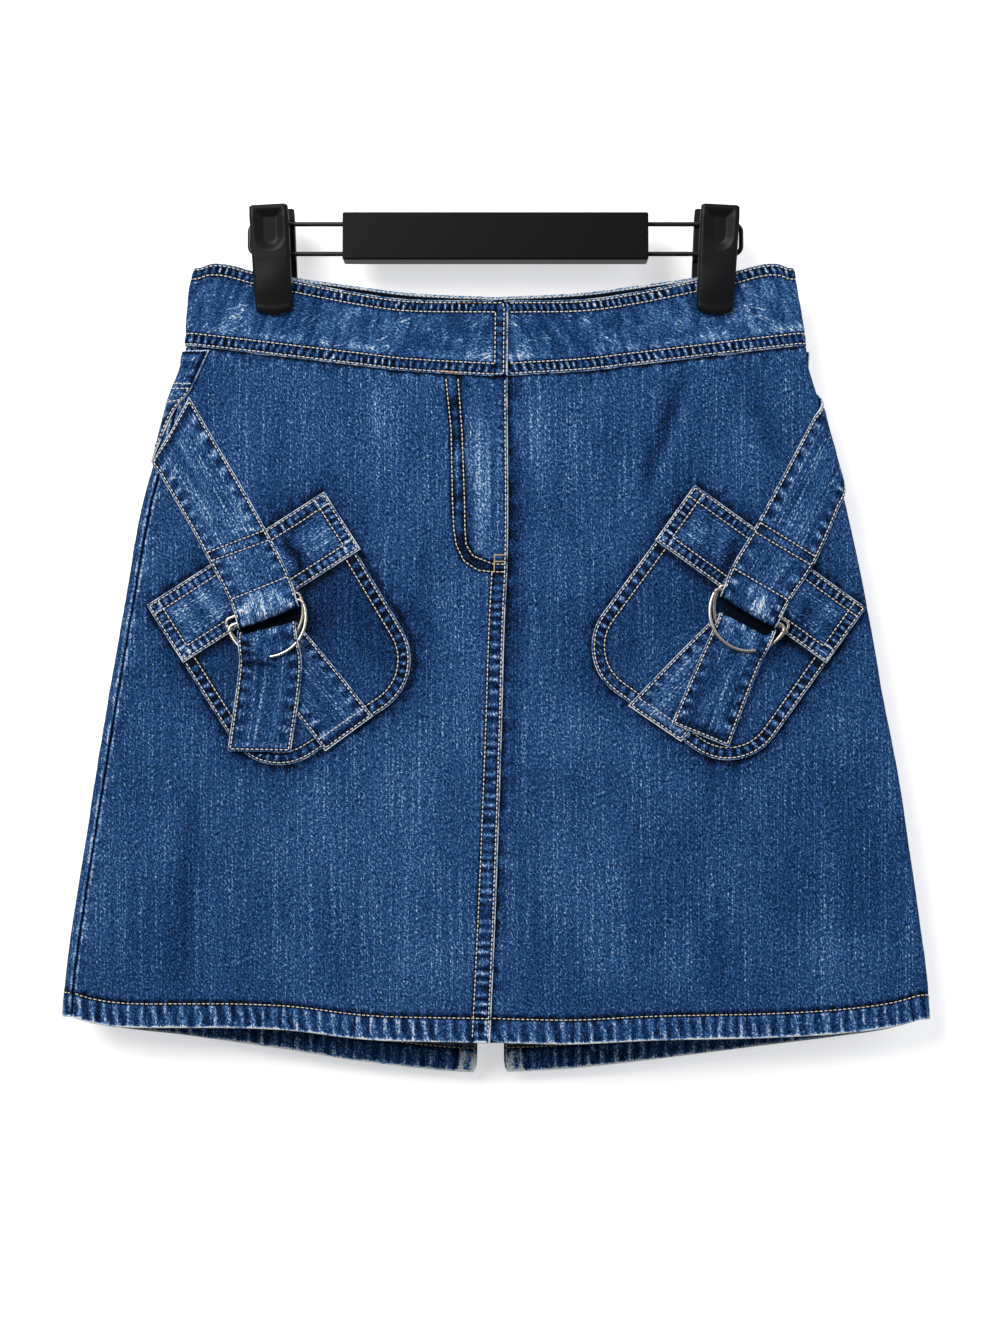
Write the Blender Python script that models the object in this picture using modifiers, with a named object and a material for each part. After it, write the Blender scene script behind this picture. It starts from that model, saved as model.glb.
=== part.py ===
"""A denim mini skirt held by a clip hanger, built piece by piece as it is cut and sewn.

The skirt's front faces -Y, X runs to the right as seen from the front, and Z is up. The origin is the centre
of the top face of the hanger's bar. The tables below are in millimetres. "drop" is the distance down from the
origin, and "walk" is the distance along the cloth from the centre front, positive to the right, round the side
fold and on to the centre back.
"""
import math

import bmesh
import bpy
import numpy as np
from mathutils import Matrix

MM = 0.001
GAP = 0.3

# Cloth thicknesses
DENIM = 1.2
HEM_EXTRA = 0.9
BAND = 2.0
FLAP = 1.4
STRAP = 1.4
LOWER_STRAP = 1.5

# Outline of the skirt without its straps: how far each side reaches from the centre line
# Columns: drop, left, right
OUTLINE = (
    (26.0, 172.0, 171.8),
    (37.0, 175.6, 173.0),
    (50.0, 177.6, 175.3),
    (74.0, 178.9, 178.9),
    (88.0, 180.4, 180.8),
    (105.0, 186.8, 185.8),
    (122.0, 191.4, 190.0),
    (143.0, 197.0, 195.8),
    (166.0, 203.6, 201.8),
    (223.0, 214.2, 214.2),
    (281.0, 224.1, 224.6),
    (338.0, 233.3, 235.0),
    (396.0, 242.6, 243.7),
    (453.0, 250.1, 250.7),
    (500.0, 252.0, 252.5),
)

# Radius of the fold at each side, and how far front and back stand out from the middle at the centre line
# Columns: drop, fold_radius, front, back
DEPTH = (
    (26.0, 3.4, 4.2, 4.6),
    (80.0, 4.2, 5.2, 5.4),
    (170.0, 5.5, 7.0, 7.5),
    (320.0, 5.8, 9.5, 11.0),
    (500.0, 6.2, 12.0, 14.0),
)
# The clips pinch the waist flat beyond this share of the width, and the pinch fades out between these drops
PINCH_SHARE = 0.73
PINCH_FADE = (60.0, 170.0)
SWELL_POWER = 1.5

# Soft waves of the hanging cloth: side position as a share of the width, spread, height and starting drop
# Columns: share, spread, height, start
FRONT_WAVES = (
    (-0.62, 0.13, -1.6, 250.0),
    (-0.28, 0.12, 1.5, 320.0),
    (0.34, 0.11, 1.8, 260.0),
    (0.66, 0.13, -1.5, 290.0),
)
BACK_WAVES = (
    (-0.70, 0.14, 1.8, 220.0),
    (-0.35, 0.12, -1.7, 260.0),
    (0.30, 0.13, -1.6, 240.0),
    (0.62, 0.14, 2.0, 200.0),
)

# Edges across the skirt: drop at shares of the width, the same on both sides
# Columns: share, top, bottom, back_rise
BAND_EDGES = (
    (0.00, 50.6, 94.4, 3.8),
    (0.31, 49.5, 91.0, 5.2),
    (0.46, 45.7, 87.7, 4.6),
    (0.66, 38.8, 83.4, 2.2),
    (0.80, 33.9, 80.4, 0.8),
    (0.96, 28.7, 77.2, 0.0),
    (1.00, 31.0, 76.4, 0.0),
)
# Columns: share, front, back
HEM = (
    (-1.00, 463.4, 463.4),
    (-0.96, 466.4, 467.4),
    (-0.89, 469.0, 470.6),
    (-0.74, 469.4, 475.4),
    (-0.63, 469.3, 479.4),
    (-0.49, 470.3, 484.6),
    (-0.30, 475.2, 492.0),
    (-0.06, 476.8, 498.2),
    (0.06, 477.4, 497.6),
    (0.18, 477.9, 495.8),
    (0.36, 475.8, 490.6),
    (0.63, 475.1, 482.0),
    (0.81, 472.8, 475.8),
    (0.94, 468.8, 470.4),
    (1.00, 464.8, 464.8),
)
# The back band's lower edge rises by this share of its top edge's rise
BACK_SEAM_RISE = 0.6

# Centre front: the left panel's edge laps over the right one
LAP = 9.0
# Columns: drop, edge
LAP_EDGE = ((50.0, 7.4), (94.0, 7.0), (200.0, 7.0), (235.0, 5.4), (300.0, 3.6), (400.0, 0.2), (480.0, -3.2))
LAP_RAISE = 0.6
LAP_BLEND = 14.0
UNDERLAP = 22.0
BAND_RAISE = 0.5
BAND_SEAM = 0.5
BAND_END_ROUND = 4.0

# Centre back: a slit that opens towards the hem
SLIT_TOP = 412.0
SLIT_FOOT = 498.0
SLIT_HALF = 8.6
SLIT_CENTRE = -2.9

# Pockets: outer top corner of the flap, and the tilt of its top edge
# Columns: side, sign, corner, drop, tilt, width, taper
POCKETS = (
    ("left", -1, 201.0, 226.0, 32.5, 119.5, 3.5),
    ("right", 1, 213.4, 227.4, 35.6, 120.5, -1.5),
)
FLAP_WIDTH = 121.5
FLAP_HEIGHT = 39.5
POCKET_HEIGHT = 124.0
POCKET_TOP = 13.0
POCKET_ROUND = 33.0

# Straps: inner and outer edge at each station, as walk (without its sign) and drop
# Columns: inner_walk, inner_drop, outer_walk, outer_drop
UPPER_STRAPS = {
    "left": (
        (112.4, 227.1, 146.9, 240.4),
        (116.4, 213.5, 150.9, 227.5),
        (130.8, 184.6, 166.2, 197.8),
        (176.5, 105.9, 197.0, 144.3),
    ),
    "right": (
        (128.5, 221.4, 160.1, 239.8),
        (134.6, 206.0, 168.0, 225.4),
        (149.8, 180.0, 184.3, 200.7),
        (191.8, 102.0, 210.6, 135.5),
    ),
}
LOWER_STRAPS = {
    "left": (
        (70.2, 289.8, 97.5, 309.9),
        (92.0, 262.2, 122.6, 277.4),
        (114.7, 235.2, 147.3, 243.7),
        (111.0, 263.1, 147.2, 262.2),
        (117.3, 310.5, 153.8, 309.9),
    ),
    "right": (
        (76.0, 283.8, 106.4, 304.4),
        (101.6, 257.2, 131.0, 276.4),
        (129.0, 230.0, 158.4, 245.6),
        (115.0, 261.0, 149.2, 266.8),
        (100.9, 293.8, 133.7, 307.6),
    ),
}
SIDE_TABS = {
    "left": (
        (164.9, 78.9, 201.7, 79.6),
        (174.9, 100.3, 206.0, 100.0),
        (178.5, 105.5, 208.5, 110.0),
        (184.4, 113.0, 210.5, 120.0),
        (190.7, 127.0, 212.0, 131.0),
        (198.2, 143.0, 213.0, 144.0),
    ),
    "right": (
        (181.7, 79.2, 218.7, 79.6),
        (191.9, 100.3, 223.0, 100.0),
        (195.5, 105.5, 226.0, 110.0),
        (201.4, 113.0, 228.0, 120.0),
        (207.7, 127.0, 229.5, 131.0),
        (214.9, 142.0, 230.5, 142.0),
    ),
}

# Height of each strap's middle over the panel, at distances along it
# Columns: along, lift
UPPER_LIFT = (
    (5.0, 10.2), (7.0, 9.9), (10.0, 8.8), (15.0, 6.6), (20.0, 5.3), (30.0, 4.6), (36.0, 4.5), (40.0, 4.3),
    (44.0, 3.7), (49.0, 3.0), (54.0, 2.1), (60.0, 1.4), (110.0, 1.35), (150.0, 1.35),
)
LOOP_UNDER_LIFT = 4.1
FOLD_CLEARANCE = 0.7
TAB_LIFT = 0.9
LOOP_LENGTH = 14.0
LEG_LIFT = 2.45
TAIL_LIFT = 7.2
TAIL_END_LIFT = 4.4

# D-rings
RING_WIRE = 0.95
RING_HALF = 22.7
RING_LEGS = 2.8
RING_CORNER = 3.0
# Columns: name, side, shift, bar_inset, bar_lift, arc_lift
RINGS = (
    ("inner", "left", 1.5, 8.4, 6.05, 4.5),
    ("outer", "left", 1.2, 4.0, 8.25, 10.1),
    ("inner", "right", 1.8, 7.2, 6.05, 4.5),
    ("outer", "right", 0.4, 4.0, 8.25, 10.1),
)

# Hanger
BAR_LENGTH = 176.0
BAR_HEIGHT = 27.4
BAR_DEPTH = 22.0
BAR_ROUND = 1.0
WIRE_RADIUS = 1.35
WIRE_BORE = 1.75
WIRE_HALF = 142.0
WIRE_TOP = 5.6
WIRE_BOTTOM = 22.8
WIRE_CORNER = 4.5
# Columns: side, x, tilt, rear_shift
CLIPS = (("left", -130.4, 3.0, 2.6), ("right", 129.2, -3.0, -2.6))
CLIP_WIDTH = 22.0
CLIP_BOTTOM = -56.4
CLIP_BOW = 2.2
CLIP_BOW_REACH = 14.0
# Columns: height, width_share, inner, outer
JAW = (
    (4.2, 0.90, 8.6, 12.6),
    (3.4, 1.00, 8.2, 13.0),
    (-2.0, 1.02, 5.2, 13.2),
    (-3.4, 1.02, 1.7, 13.2),
    (-26.0, 1.00, 1.7, 11.8),
    (-28.0, 1.00, 4.9, 11.6),
    (-45.0, 0.98, 4.9, 10.0),
    (-52.6, 0.96, 4.9, 8.8),
    (-55.4, 0.94, 5.1, 8.2),
    (-56.4, 0.88, 5.6, 7.6),
)
# Share of a jaw's depth that its rounded outer corners take
JAW_CORNER = 0.28

# The thumb recess in each front jaw: its floor is smaller than its mouth
# Columns: half_width, top, bottom, depth
RECESS_SECTIONS = (
    (8.9, 2.7, -22.5, 13.8),
    (4.6, -1.2, -17.6, 11.4),
)

# How finely each piece is divided: shares of its length or width. The last rows are the hem, 14 mm deep
ROW_SHARES = np.array([
    0.0, 0.03, 0.06, 0.09, 0.125, 0.165, 0.21, 0.26, 0.32, 0.39,
    0.46, 0.54, 0.62, 0.70, 0.79, 0.88, 0.955, 0.964, 1.0,
])
HEM_ROWS = 2
BAND_ROW_SHARES = np.array([0.0, 0.12, 0.35, 0.6, 0.85, 1.0])
FOLD_SHARES = np.array([0.0, 0.04, 0.2, 0.4, 0.6, 0.8, 0.96, 1.0])
FROM_SIDE = np.array([0.0, 0.04, 0.10, 0.19, 0.28, 0.37, 0.46, 0.55, 0.64, 0.73, 0.82, 0.91, 1.0])
TO_SIDE = 1 - FROM_SIDE[::-1]
LAP_SHARES = np.array([0.0, 0.5, 1.0])
BAND_END_SHARES = np.array([0.0, 0.5, 0.8, 0.95, 1.0])
PANEL_SHARES = np.linspace(0, 1, 12)
POCKET_SHARES = np.array([0.0, 0.022, 0.045, 0.085, 0.17, 0.29, 0.43, 0.57, 0.71, 0.86, 1.0])
POCKET_STRAIGHT_ROWS = 5
POCKET_CORNER_TURN = np.linspace(0, np.pi / 2, 6)[1:]
FLAP_STEP = (3.0, 10.5)
FLAP_ROWS = np.array([0.0, 3.5, 7.0, 10.5, 18.0, 28.0, FLAP_HEIGHT])
TAB_COLUMNS = 14
TAB_ROWS = np.concatenate([np.linspace(0, 1, 6)[:-1], np.linspace(1, 5, 9)])
LOWER_STRAP_COLUMNS = 5
UPPER_STRAP_COLUMNS = {"left": 6, "right": 8}
UPPER_STRAP_STATIONS = (59.0, 54.0, 49.0, 44.0, 38.0, 32.0, 26.0, 21.0, 17.0, 13.0, 10.0, 7.5, 5.0)
SIDE_STRETCH = 60.0


def column(table, index):
    return np.array([row[index] for row in table], float)


def smooth(knots, values, at):
    """A smooth curve through a table: cubic pieces whose slopes are the mean of the neighbouring chords."""
    knots = np.asarray(knots, float)
    values = np.asarray(values, float)
    chords = np.diff(values) / np.diff(knots)
    slopes = np.concatenate(([chords[0]], (chords[:-1] + chords[1:]) / 2, [chords[-1]]))
    at = np.clip(np.asarray(at, float), knots[0], knots[-1])
    i = np.clip(np.searchsorted(knots, at) - 1, 0, len(knots) - 2)
    gap = knots[i + 1] - knots[i]
    t = (at - knots[i]) / gap
    rest = 1 - t
    return (
        values[i] * (1 + 2 * t) * rest**2
        + slopes[i] * gap * t * rest**2
        + values[i + 1] * t**2 * (3 - 2 * t)
        - slopes[i + 1] * gap * t**2 * rest
    )


def ease(low, high, at):
    """0 below low, 1 above high, and a smooth turn between."""
    t = np.clip((at - low) / (high - low), 0, 1)
    return t * t * (3 - 2 * t)


def fold_radius(drop):
    return smooth(column(DEPTH, 0), column(DEPTH, 1), drop)


def flat_reach(drop, sign):
    """Width of the flat part at this drop, from the centre line to where the side fold starts."""
    reach = smooth(column(OUTLINE, 0), column(OUTLINE, 1 if sign < 0 else 2), drop)
    return reach - fold_radius(drop)


def stand_out(share, drop, back):
    """How far the cloth stands out from the side folds: a lens across the width, pinched flat by the clips."""
    swell = smooth(column(DEPTH, 0), column(DEPTH, 3 if back else 2), drop)
    share = np.clip(share, -1, 1)
    pinched = np.cos(np.pi / 2 * np.clip(share / PINCH_SHARE, -1, 1)) ** 2
    free = (1 - share**2) ** SWELL_POWER
    away = ease(*PINCH_FADE, drop)
    height = swell * (pinched * (1 - away) + free * away)
    edge = 1 - share**8
    for centre, spread, wave, start in BACK_WAVES if back else FRONT_WAVES:
        hump = np.exp(-(((share - centre) / spread) ** 2))
        height = height + wave * edge * hump * ease(start, SLIT_FOOT, drop)
    return height


def skin(walk, drop, lift=0.0):
    """Points of the skirt's outer surface at a walk and a drop, moved out by a lift. Arrays in and out."""
    walk, drop, lift = np.broadcast_arrays(*(np.asarray(part, float) for part in (walk, drop, lift)))
    sign = np.where(walk < 0, -1.0, 1.0)
    flat = np.where(walk < 0, flat_reach(drop, -1), flat_reach(drop, 1))
    radius = fold_radius(drop)
    along = np.abs(walk)
    turn = np.clip((along - flat) / radius, 0, np.pi)
    on_back = along > flat + np.pi * radius
    back_x = flat - (along - flat - np.pi * radius)
    inside = np.where(along <= flat, along, np.where(on_back, back_x, flat))
    share = sign * inside / flat
    x = inside + np.where((turn > 0) & ~on_back, (radius + lift) * np.sin(turn), 0.0)
    front = radius + lift + stand_out(share, drop, False)
    rear = radius + lift + stand_out(share, drop, True)
    y = np.where(along <= flat, -front, np.where(on_back, rear, -(radius + lift) * np.cos(turn)))
    return np.stack([sign * x, y, -drop], axis=-1)


def band_edge(index, share):
    return smooth(column(BAND_EDGES, 0), column(BAND_EDGES, index), np.abs(share))


def hem(back, side):
    return lambda share: smooth(column(HEM, 0), column(HEM, 2 if back else 1), side * share)


def lap_edge(drop):
    return smooth(column(LAP_EDGE, 0), column(LAP_EDGE, 1), drop)


# Blender objects

def start_clean():
    for item in list(bpy.data.objects):
        bpy.data.objects.remove(item, do_unlink=True)
    groups = []
    for name in ("Denim_skirt_on_clip_hanger", "Cutters"):
        group = bpy.data.collections.new(name)
        bpy.context.scene.collection.children.link(group)
        groups.append(group)
    return groups


def finish(name, colour, roughness, metallic=0.0):
    """A plain material of one colour, in linear values."""
    material = bpy.data.materials.new(name)
    material.use_nodes = True
    shader = material.node_tree.nodes["Principled BSDF"]
    shader.inputs["Base Color"].default_value = (*colour, 1.0)
    shader.inputs["Roughness"].default_value = roughness
    shader.inputs["Metallic"].default_value = metallic
    return material


FINISHES = {
    "denim": ((0.055, 0.125, 0.330), 0.9, 0.0),
    "band_denim": ((0.070, 0.150, 0.360), 0.9, 0.0),
    "strap_denim": ((0.050, 0.115, 0.300), 0.9, 0.0),
    "nickel": ((0.62, 0.60, 0.55), 0.25, 1.0),
    "black_plastic": ((0.012, 0.012, 0.013), 0.45, 0.0),
    "black_wire": ((0.010, 0.010, 0.010), 0.4, 0.6),
}


def place(name, mesh, material_kind):
    item = bpy.data.objects.new(name, mesh)
    mesh.materials.append(finish(name, *FINISHES[material_kind]))
    PARTS.objects.link(item)
    return item


def sheet_mesh(name, points):
    """An open sheet from a grid of points: rows go down the cloth, columns run with the walk."""
    rows, columns, _ = points.shape
    index = np.arange(rows * columns).reshape(rows, columns)
    faces = np.stack([index[:-1, :-1], index[1:, :-1], index[1:, 1:], index[:-1, 1:]], axis=-1).reshape(-1, 4)
    mesh = bpy.data.meshes.new(name)
    mesh.from_pydata((points.reshape(-1, 3) * MM).tolist(), [], faces.tolist())
    mesh.shade_smooth()
    return mesh


def cloth(name, points, thickness, kind="denim", offset=-1.0, thick_share=None):
    """A cloth piece: the sheet, given its wall by Solidify. thick_share sets the wall's share point by point."""
    item = place(name, sheet_mesh(name, points), kind)
    wall = item.modifiers.new("Wall", "SOLIDIFY")
    wall.thickness = thickness * MM
    wall.offset = offset
    if thick_share is not None:
        group = item.vertex_groups.new(name="wall")
        for index, share in enumerate(np.broadcast_to(thick_share, points.shape[:2]).ravel()):
            group.add([index], float(share), "REPLACE")
        wall.vertex_group = "wall"
    return item


# Skirt panels and waistband

def fold_start(drop, side):
    return side * flat_reach(drop, side)


def fold_end(drop, side):
    return side * (flat_reach(drop, side) + np.pi * fold_radius(drop))


def centre_back(drop, side):
    return side * (2 * flat_reach(drop, side) + np.pi * fold_radius(drop))


def walks(segments, drop):
    """The walk of every column. Each segment spreads its columns between a start line and a stop line."""
    parts = []
    first = 0
    for start, stop, shares in segments:
        here = drop[..., first:first + len(shares)]
        parts.append(start(here) + (stop(here) - start(here)) * shares)
        first += len(shares)
    return np.concatenate(parts, axis=-1)


def width_share(walk, drop, side):
    """How far out a point lies, 0 at the centre line and 1 on the side fold, on the front and on the back."""
    flat = flat_reach(drop, side)
    past = np.clip(np.abs(walk) - flat - np.pi * fold_radius(drop), 0, None)
    return np.clip((np.minimum(np.abs(walk), flat) - past) / flat, 0, 1)


def between(segments, side, top, bottom, down):
    """Walks and drops of a piece that lies between two edges of the skirt."""
    def crossing(edge):
        drop = np.full(sum(len(shares) for _, _, shares in segments), 90.0)
        for _ in range(5):
            drop = edge(width_share(walks(segments, drop), drop, side))
        return drop

    high, low = crossing(top), crossing(bottom)
    drop = high + (low - high) * down[:, None]
    return walks(segments, drop), drop


def band_top(back):
    return lambda share: band_edge(1, share) - back * band_edge(3, share)


def band_bottom(back, below=0.0):
    return lambda share: band_edge(2, share) - back * BACK_SEAM_RISE * band_edge(3, share) + below


def lap_raise(walk, drop):
    """The lapping edge stands a little proud of the cloth behind it."""
    return LAP_RAISE * ease(0.0, LAP_BLEND, LAP_BLEND - np.abs(lap_edge(drop) - walk))


def slit_line(drop, side):
    """The edge of a back panel at the centre back: a seam down to the slit's top, then curving apart."""
    opening = np.clip((drop - SLIT_TOP) / (SLIT_FOOT - SLIT_TOP), 0, 1) ** 3
    return centre_back(drop, side) - SLIT_CENTRE * opening - side * (GAP / 2 + SLIT_HALF * opening)


def panel(name, side, back, segments):
    walk, drop = between(segments, side, band_bottom(back, GAP), hem(back, side), ROW_SHARES)
    thick = np.full_like(drop, DENIM)
    thick[-HEM_ROWS:] += HEM_EXTRA
    lift = np.zeros_like(walk)
    if name == "front_panel_left":
        lift = lap_raise(walk, drop)
    if name == "front_panel_right":
        under = lap_raise(walk, drop) - thick - GAP
        lift = under * (1 - ease(1.0, LAP_BLEND, walk - lap_edge(drop)))
    cloth(name, skin(walk, drop, lift), DENIM + HEM_EXTRA, thick_share=thick / (DENIM + HEM_EXTRA))


def make_panels():
    panel("front_panel_left", -1, False, (
        (lambda d: fold_start(d, -1) + GAP / 2, lambda d: lap_edge(d) - LAP_BLEND, FROM_SIDE),
        (lambda d: lap_edge(d) - LAP, lap_edge, LAP_SHARES),
    ))
    panel("front_panel_right", 1, False, (
        (lambda d: lap_edge(d) - LAP, lap_edge, LAP_SHARES),
        (lambda d: lap_edge(d) + 1.0, lambda d: lap_edge(d) + LAP_BLEND, LAP_SHARES),
        (lambda d: lap_edge(d) + LAP_BLEND, lambda d: fold_start(d, 1), TO_SIDE[1:]),
        (lambda d: fold_start(d, 1), lambda d: fold_end(d, 1) - GAP / 2, FOLD_SHARES[1:]),
    ))
    panel("back_panel_left", -1, True, (
        (lambda d: slit_line(d, -1), lambda d: fold_end(d, -1), TO_SIDE),
        (lambda d: fold_end(d, -1), lambda d: fold_start(d, -1) - GAP / 2, FOLD_SHARES[1:]),
    ))
    panel("back_panel_right", 1, True, (
        (lambda d: fold_end(d, 1) + GAP / 2, lambda d: slit_line(d, 1), FROM_SIDE),
    ))


def make_waistband():
    """Three pieces. The front ones wrap the side folds, and the left one's round end laps over the right one."""
    walk, drop = between((
        (lambda d: fold_end(d, -1) + BAND_SEAM / 2, lambda d: fold_start(d, -1), FOLD_SHARES[:-1]),
        (lambda d: fold_start(d, -1), lambda d: lap_edge(d) - LAP_BLEND, PANEL_SHARES),
        (lambda d: lap_edge(d) - LAP, lap_edge, BAND_END_SHARES),
    ), -1, band_top(False), band_bottom(False), BAND_ROW_SHARES)
    past = np.clip(walk[0] - lap_edge(drop[0]) + BAND_END_ROUND, 0, BAND_END_ROUND)
    rounding = BAND_END_ROUND - np.sqrt(BAND_END_ROUND**2 - past**2)
    drop = drop + rounding * (1 - BAND_ROW_SHARES[:, None]) ** 3
    cloth("waistband_front_left", skin(walk, drop, BAND_RAISE + lap_raise(walk, drop)), BAND, "band_denim")

    walk, drop = between((
        (lambda d: lap_edge(d) - UNDERLAP, lambda d: lap_edge(d) - LAP_BLEND, np.array([0.0, 1.0])),
        (lambda d: lap_edge(d) - LAP, lap_edge, LAP_SHARES),
        (lambda d: lap_edge(d) + 1.0, lambda d: lap_edge(d) + LAP_BLEND, LAP_SHARES),
        (lambda d: lap_edge(d) + LAP_BLEND, lambda d: fold_start(d, 1), PANEL_SHARES[1:]),
        (lambda d: fold_start(d, 1), lambda d: fold_end(d, 1) - BAND_SEAM / 2, FOLD_SHARES[1:]),
    ), 1, band_top(False), band_bottom(False), BAND_ROW_SHARES)
    under = BAND_RAISE + lap_raise(walk, drop) - BAND - GAP
    lift = BAND_RAISE + (under - BAND_RAISE) * (1 - ease(1.0, LAP_BLEND, walk - lap_edge(drop)))
    cloth("waistband_front_right", skin(walk, drop, lift), BAND, "band_denim")

    halves = []
    for side in (-1, 1):
        start = lambda d: fold_end(d, side) + side * BAND_SEAM / 2
        stop = lambda d: centre_back(d, side)
        walk, drop = between(
            ((start, stop, PANEL_SHARES),), side, band_top(True), band_bottom(True), BAND_ROW_SHARES
        )
        halves.append(skin(walk, drop, BAND_RAISE))
    right, left = halves[1], halves[0][:, ::-1]
    cloth("waistband_back", np.concatenate([right, left[:, 1:]], axis=1), BAND, "band_denim")


# Pockets, flaps, straps and rings

def pocket_points(sign, corner, drop, tilt, across, down, lift):
    """Points of a pocket piece: across runs from its outer to its inner edge, down from the flap's top edge."""
    angle = math.radians(tilt)
    walk = sign * (corner - across * math.cos(angle) - down * math.sin(angle))
    return skin(walk, drop - across * math.sin(angle) + down * math.cos(angle), lift)


def make_pocket(side, sign, corner, drop, tilt, pocket_width, taper):
    straight = np.linspace(POCKET_TOP, POCKET_HEIGHT - POCKET_ROUND, POCKET_STRAIGHT_ROWS)
    rounded = POCKET_HEIGHT - POCKET_ROUND + POCKET_ROUND * np.sin(POCKET_CORNER_TURN)
    down = np.concatenate([straight, rounded])[:, None]
    inset = np.concatenate([np.zeros_like(straight), POCKET_ROUND * (1 - np.cos(POCKET_CORNER_TURN))])[:, None]
    width = pocket_width - taper * down / POCKET_HEIGHT - 2 * inset
    across = inset + width * POCKET_SHARES
    points = pocket_points(sign, corner, drop, tilt, across, down + 0 * across, GAP + DENIM)
    cloth(f"pocket_{side}", points if sign < 0 else points[:, ::-1], DENIM)

    down = FLAP_ROWS[:, None]
    across = FLAP_WIDTH * POCKET_SHARES + 0 * down
    over_pocket = ease(*FLAP_STEP, down)
    lift = GAP + FLAP + (DENIM + GAP) * over_pocket + 0 * across
    points = pocket_points(sign, corner, drop, tilt, across, down + 0 * across, lift)
    cloth(f"pocket_flap_{side}", points if sign < 0 else points[:, ::-1], FLAP, "strap_denim")


def ribbon(name, sign, inner_walk, inner_drop, outer_walk, outer_drop, lift, thickness, columns):
    """A strap from its inner and outer edges and the height of its middle surface, station by station."""
    across = np.linspace(0, 1, columns)
    walk = sign * (inner_walk[:, None] + (outer_walk - inner_walk)[:, None] * across)
    drop = inner_drop[:, None] + (outer_drop - inner_drop)[:, None] * across
    cloth(name, skin(walk, drop, lift[:, None]), thickness, "strap_denim", 0.0)


def strap_distances(rows):
    """Distance of each station along the strap's middle line."""
    middle = (rows[:, :2] + rows[:, 2:]) / 2
    return np.concatenate(([0.0], np.cumsum(np.linalg.norm(np.diff(middle, axis=0), axis=1))))


def strap_edges(rows, along):
    """The four edge values of a strap at distances along it. Past its fold the strap runs on straight."""
    knots = strap_distances(rows)
    inside = np.stack([smooth(knots, rows[:, k], along) for k in range(4)])
    slope = (rows[1] - rows[0]) / knots[1]
    return inside + slope[:, None] * np.minimum(along, 0)


def make_upper_strap(side, sign):
    """From the side down over the flap, round the rings and back under itself to the loop's stitching."""
    rows = np.array(UPPER_STRAPS[side], float)
    length = strap_distances(rows)[-1]
    by_side = np.linspace(length, length - SIDE_STRETCH, 12)
    down_to_flap = np.linspace(length - SIDE_STRETCH, UPPER_STRAP_STATIONS[0] + 5.0, 4)[1:]
    over = np.concatenate([by_side, down_to_flap, UPPER_STRAP_STATIONS])
    over_lift = smooth(column(UPPER_LIFT, 0), column(UPPER_LIFT, 1), over)
    over_lift = over_lift + FOLD_CLEARANCE * ease(60.0, 85.0, over)
    centre_lift = (UPPER_LIFT[0][1] + LOOP_UNDER_LIFT) / 2
    radius = (UPPER_LIFT[0][1] - LOOP_UNDER_LIFT) / 2
    turn = np.linspace(0, np.pi, 9)
    fold = radius + STRAP / 2 - radius * np.sin(turn)
    under = np.array([6.5, 10.0, LOOP_LENGTH])
    along = np.concatenate([over, fold, under])
    lift = np.concatenate([over_lift, centre_lift + radius * np.cos(turn), np.full(3, LOOP_UNDER_LIFT)])
    ribbon(f"upper_strap_{side}", sign, *strap_edges(rows, along), lift, STRAP, UPPER_STRAP_COLUMNS[side])


def make_lower_strap(side, sign):
    """From its root in the pocket's seam up behind the rings, over the inner ring, and down as a loose tail."""
    rows = np.array(LOWER_STRAPS[side], float)
    leg = np.array([smooth((0, 1, 2), rows[:3, k], np.linspace(0, 2, 12)) for k in range(4)])
    tail = np.array([smooth((0, 1, 2), rows[2:, k], np.linspace(0, 2, 14)) for k in range(4)])
    radius = (TAIL_LIFT - LEG_LIFT) / 2
    turn = np.linspace(0, np.pi, 7)[1:-1]
    leg_step = (leg[:, -1] - leg[:, -2]) / np.linalg.norm((leg[:, -1] - leg[:, -2])[:2])
    tail_step = (tail[:, 0] - tail[:, 1]) / np.linalg.norm((tail[:, 0] - tail[:, 1])[:2])
    top = radius + LOWER_STRAP / 2
    leg_end = leg[:, -1] - leg_step * top
    tail_start = tail[:, 0] - tail_step * top
    leg = leg + (leg_end - leg[:, -1])[:, None] * np.linspace(0, 1, 12) ** 4
    tail = tail + (tail_start - tail[:, 0])[:, None] * (1 - np.linspace(0, 1, 14)) ** 4
    mix = (1 - np.cos(turn)) / 2
    step = leg_step[:, None] * (1 - mix) + tail_step[:, None] * mix
    base = leg_end[:, None] * (1 - mix) + tail_start[:, None] * mix
    fold = base + step * radius * np.sin(turn)
    edges = np.concatenate([leg, fold, tail], axis=1)
    tail_lift = TAIL_LIFT + (TAIL_END_LIFT - TAIL_LIFT) * ease(0.30, 0.95, np.linspace(0, 1, 14))
    lift = np.concatenate([np.full(12, LEG_LIFT), LEG_LIFT + radius * (1 - np.cos(turn)), tail_lift])
    ribbon(f"lower_strap_{side}", sign, *edges, lift, LOWER_STRAP, LOWER_STRAP_COLUMNS)


def make_side_tab(side, sign):
    """The short strap that comes down from the waistband and rounds the side fold."""
    rows = np.array(SIDE_TABS[side], float)
    inner_walk, inner_drop, outer_walk, outer_drop = (
        smooth(np.arange(len(rows)), rows[:, k], TAB_ROWS)[:, None] for k in range(4)
    )
    across = np.linspace(0, 1, TAB_COLUMNS)
    walk = sign * (inner_walk + (outer_walk - inner_walk) * across)
    drop = inner_drop + (outer_drop - inner_drop) * across
    points = skin(walk, drop, TAB_LIFT + STRAP)
    cloth(f"side_tab_{side}", points[:, ::-1] if sign < 0 else points, STRAP, "strap_denim")


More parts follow.
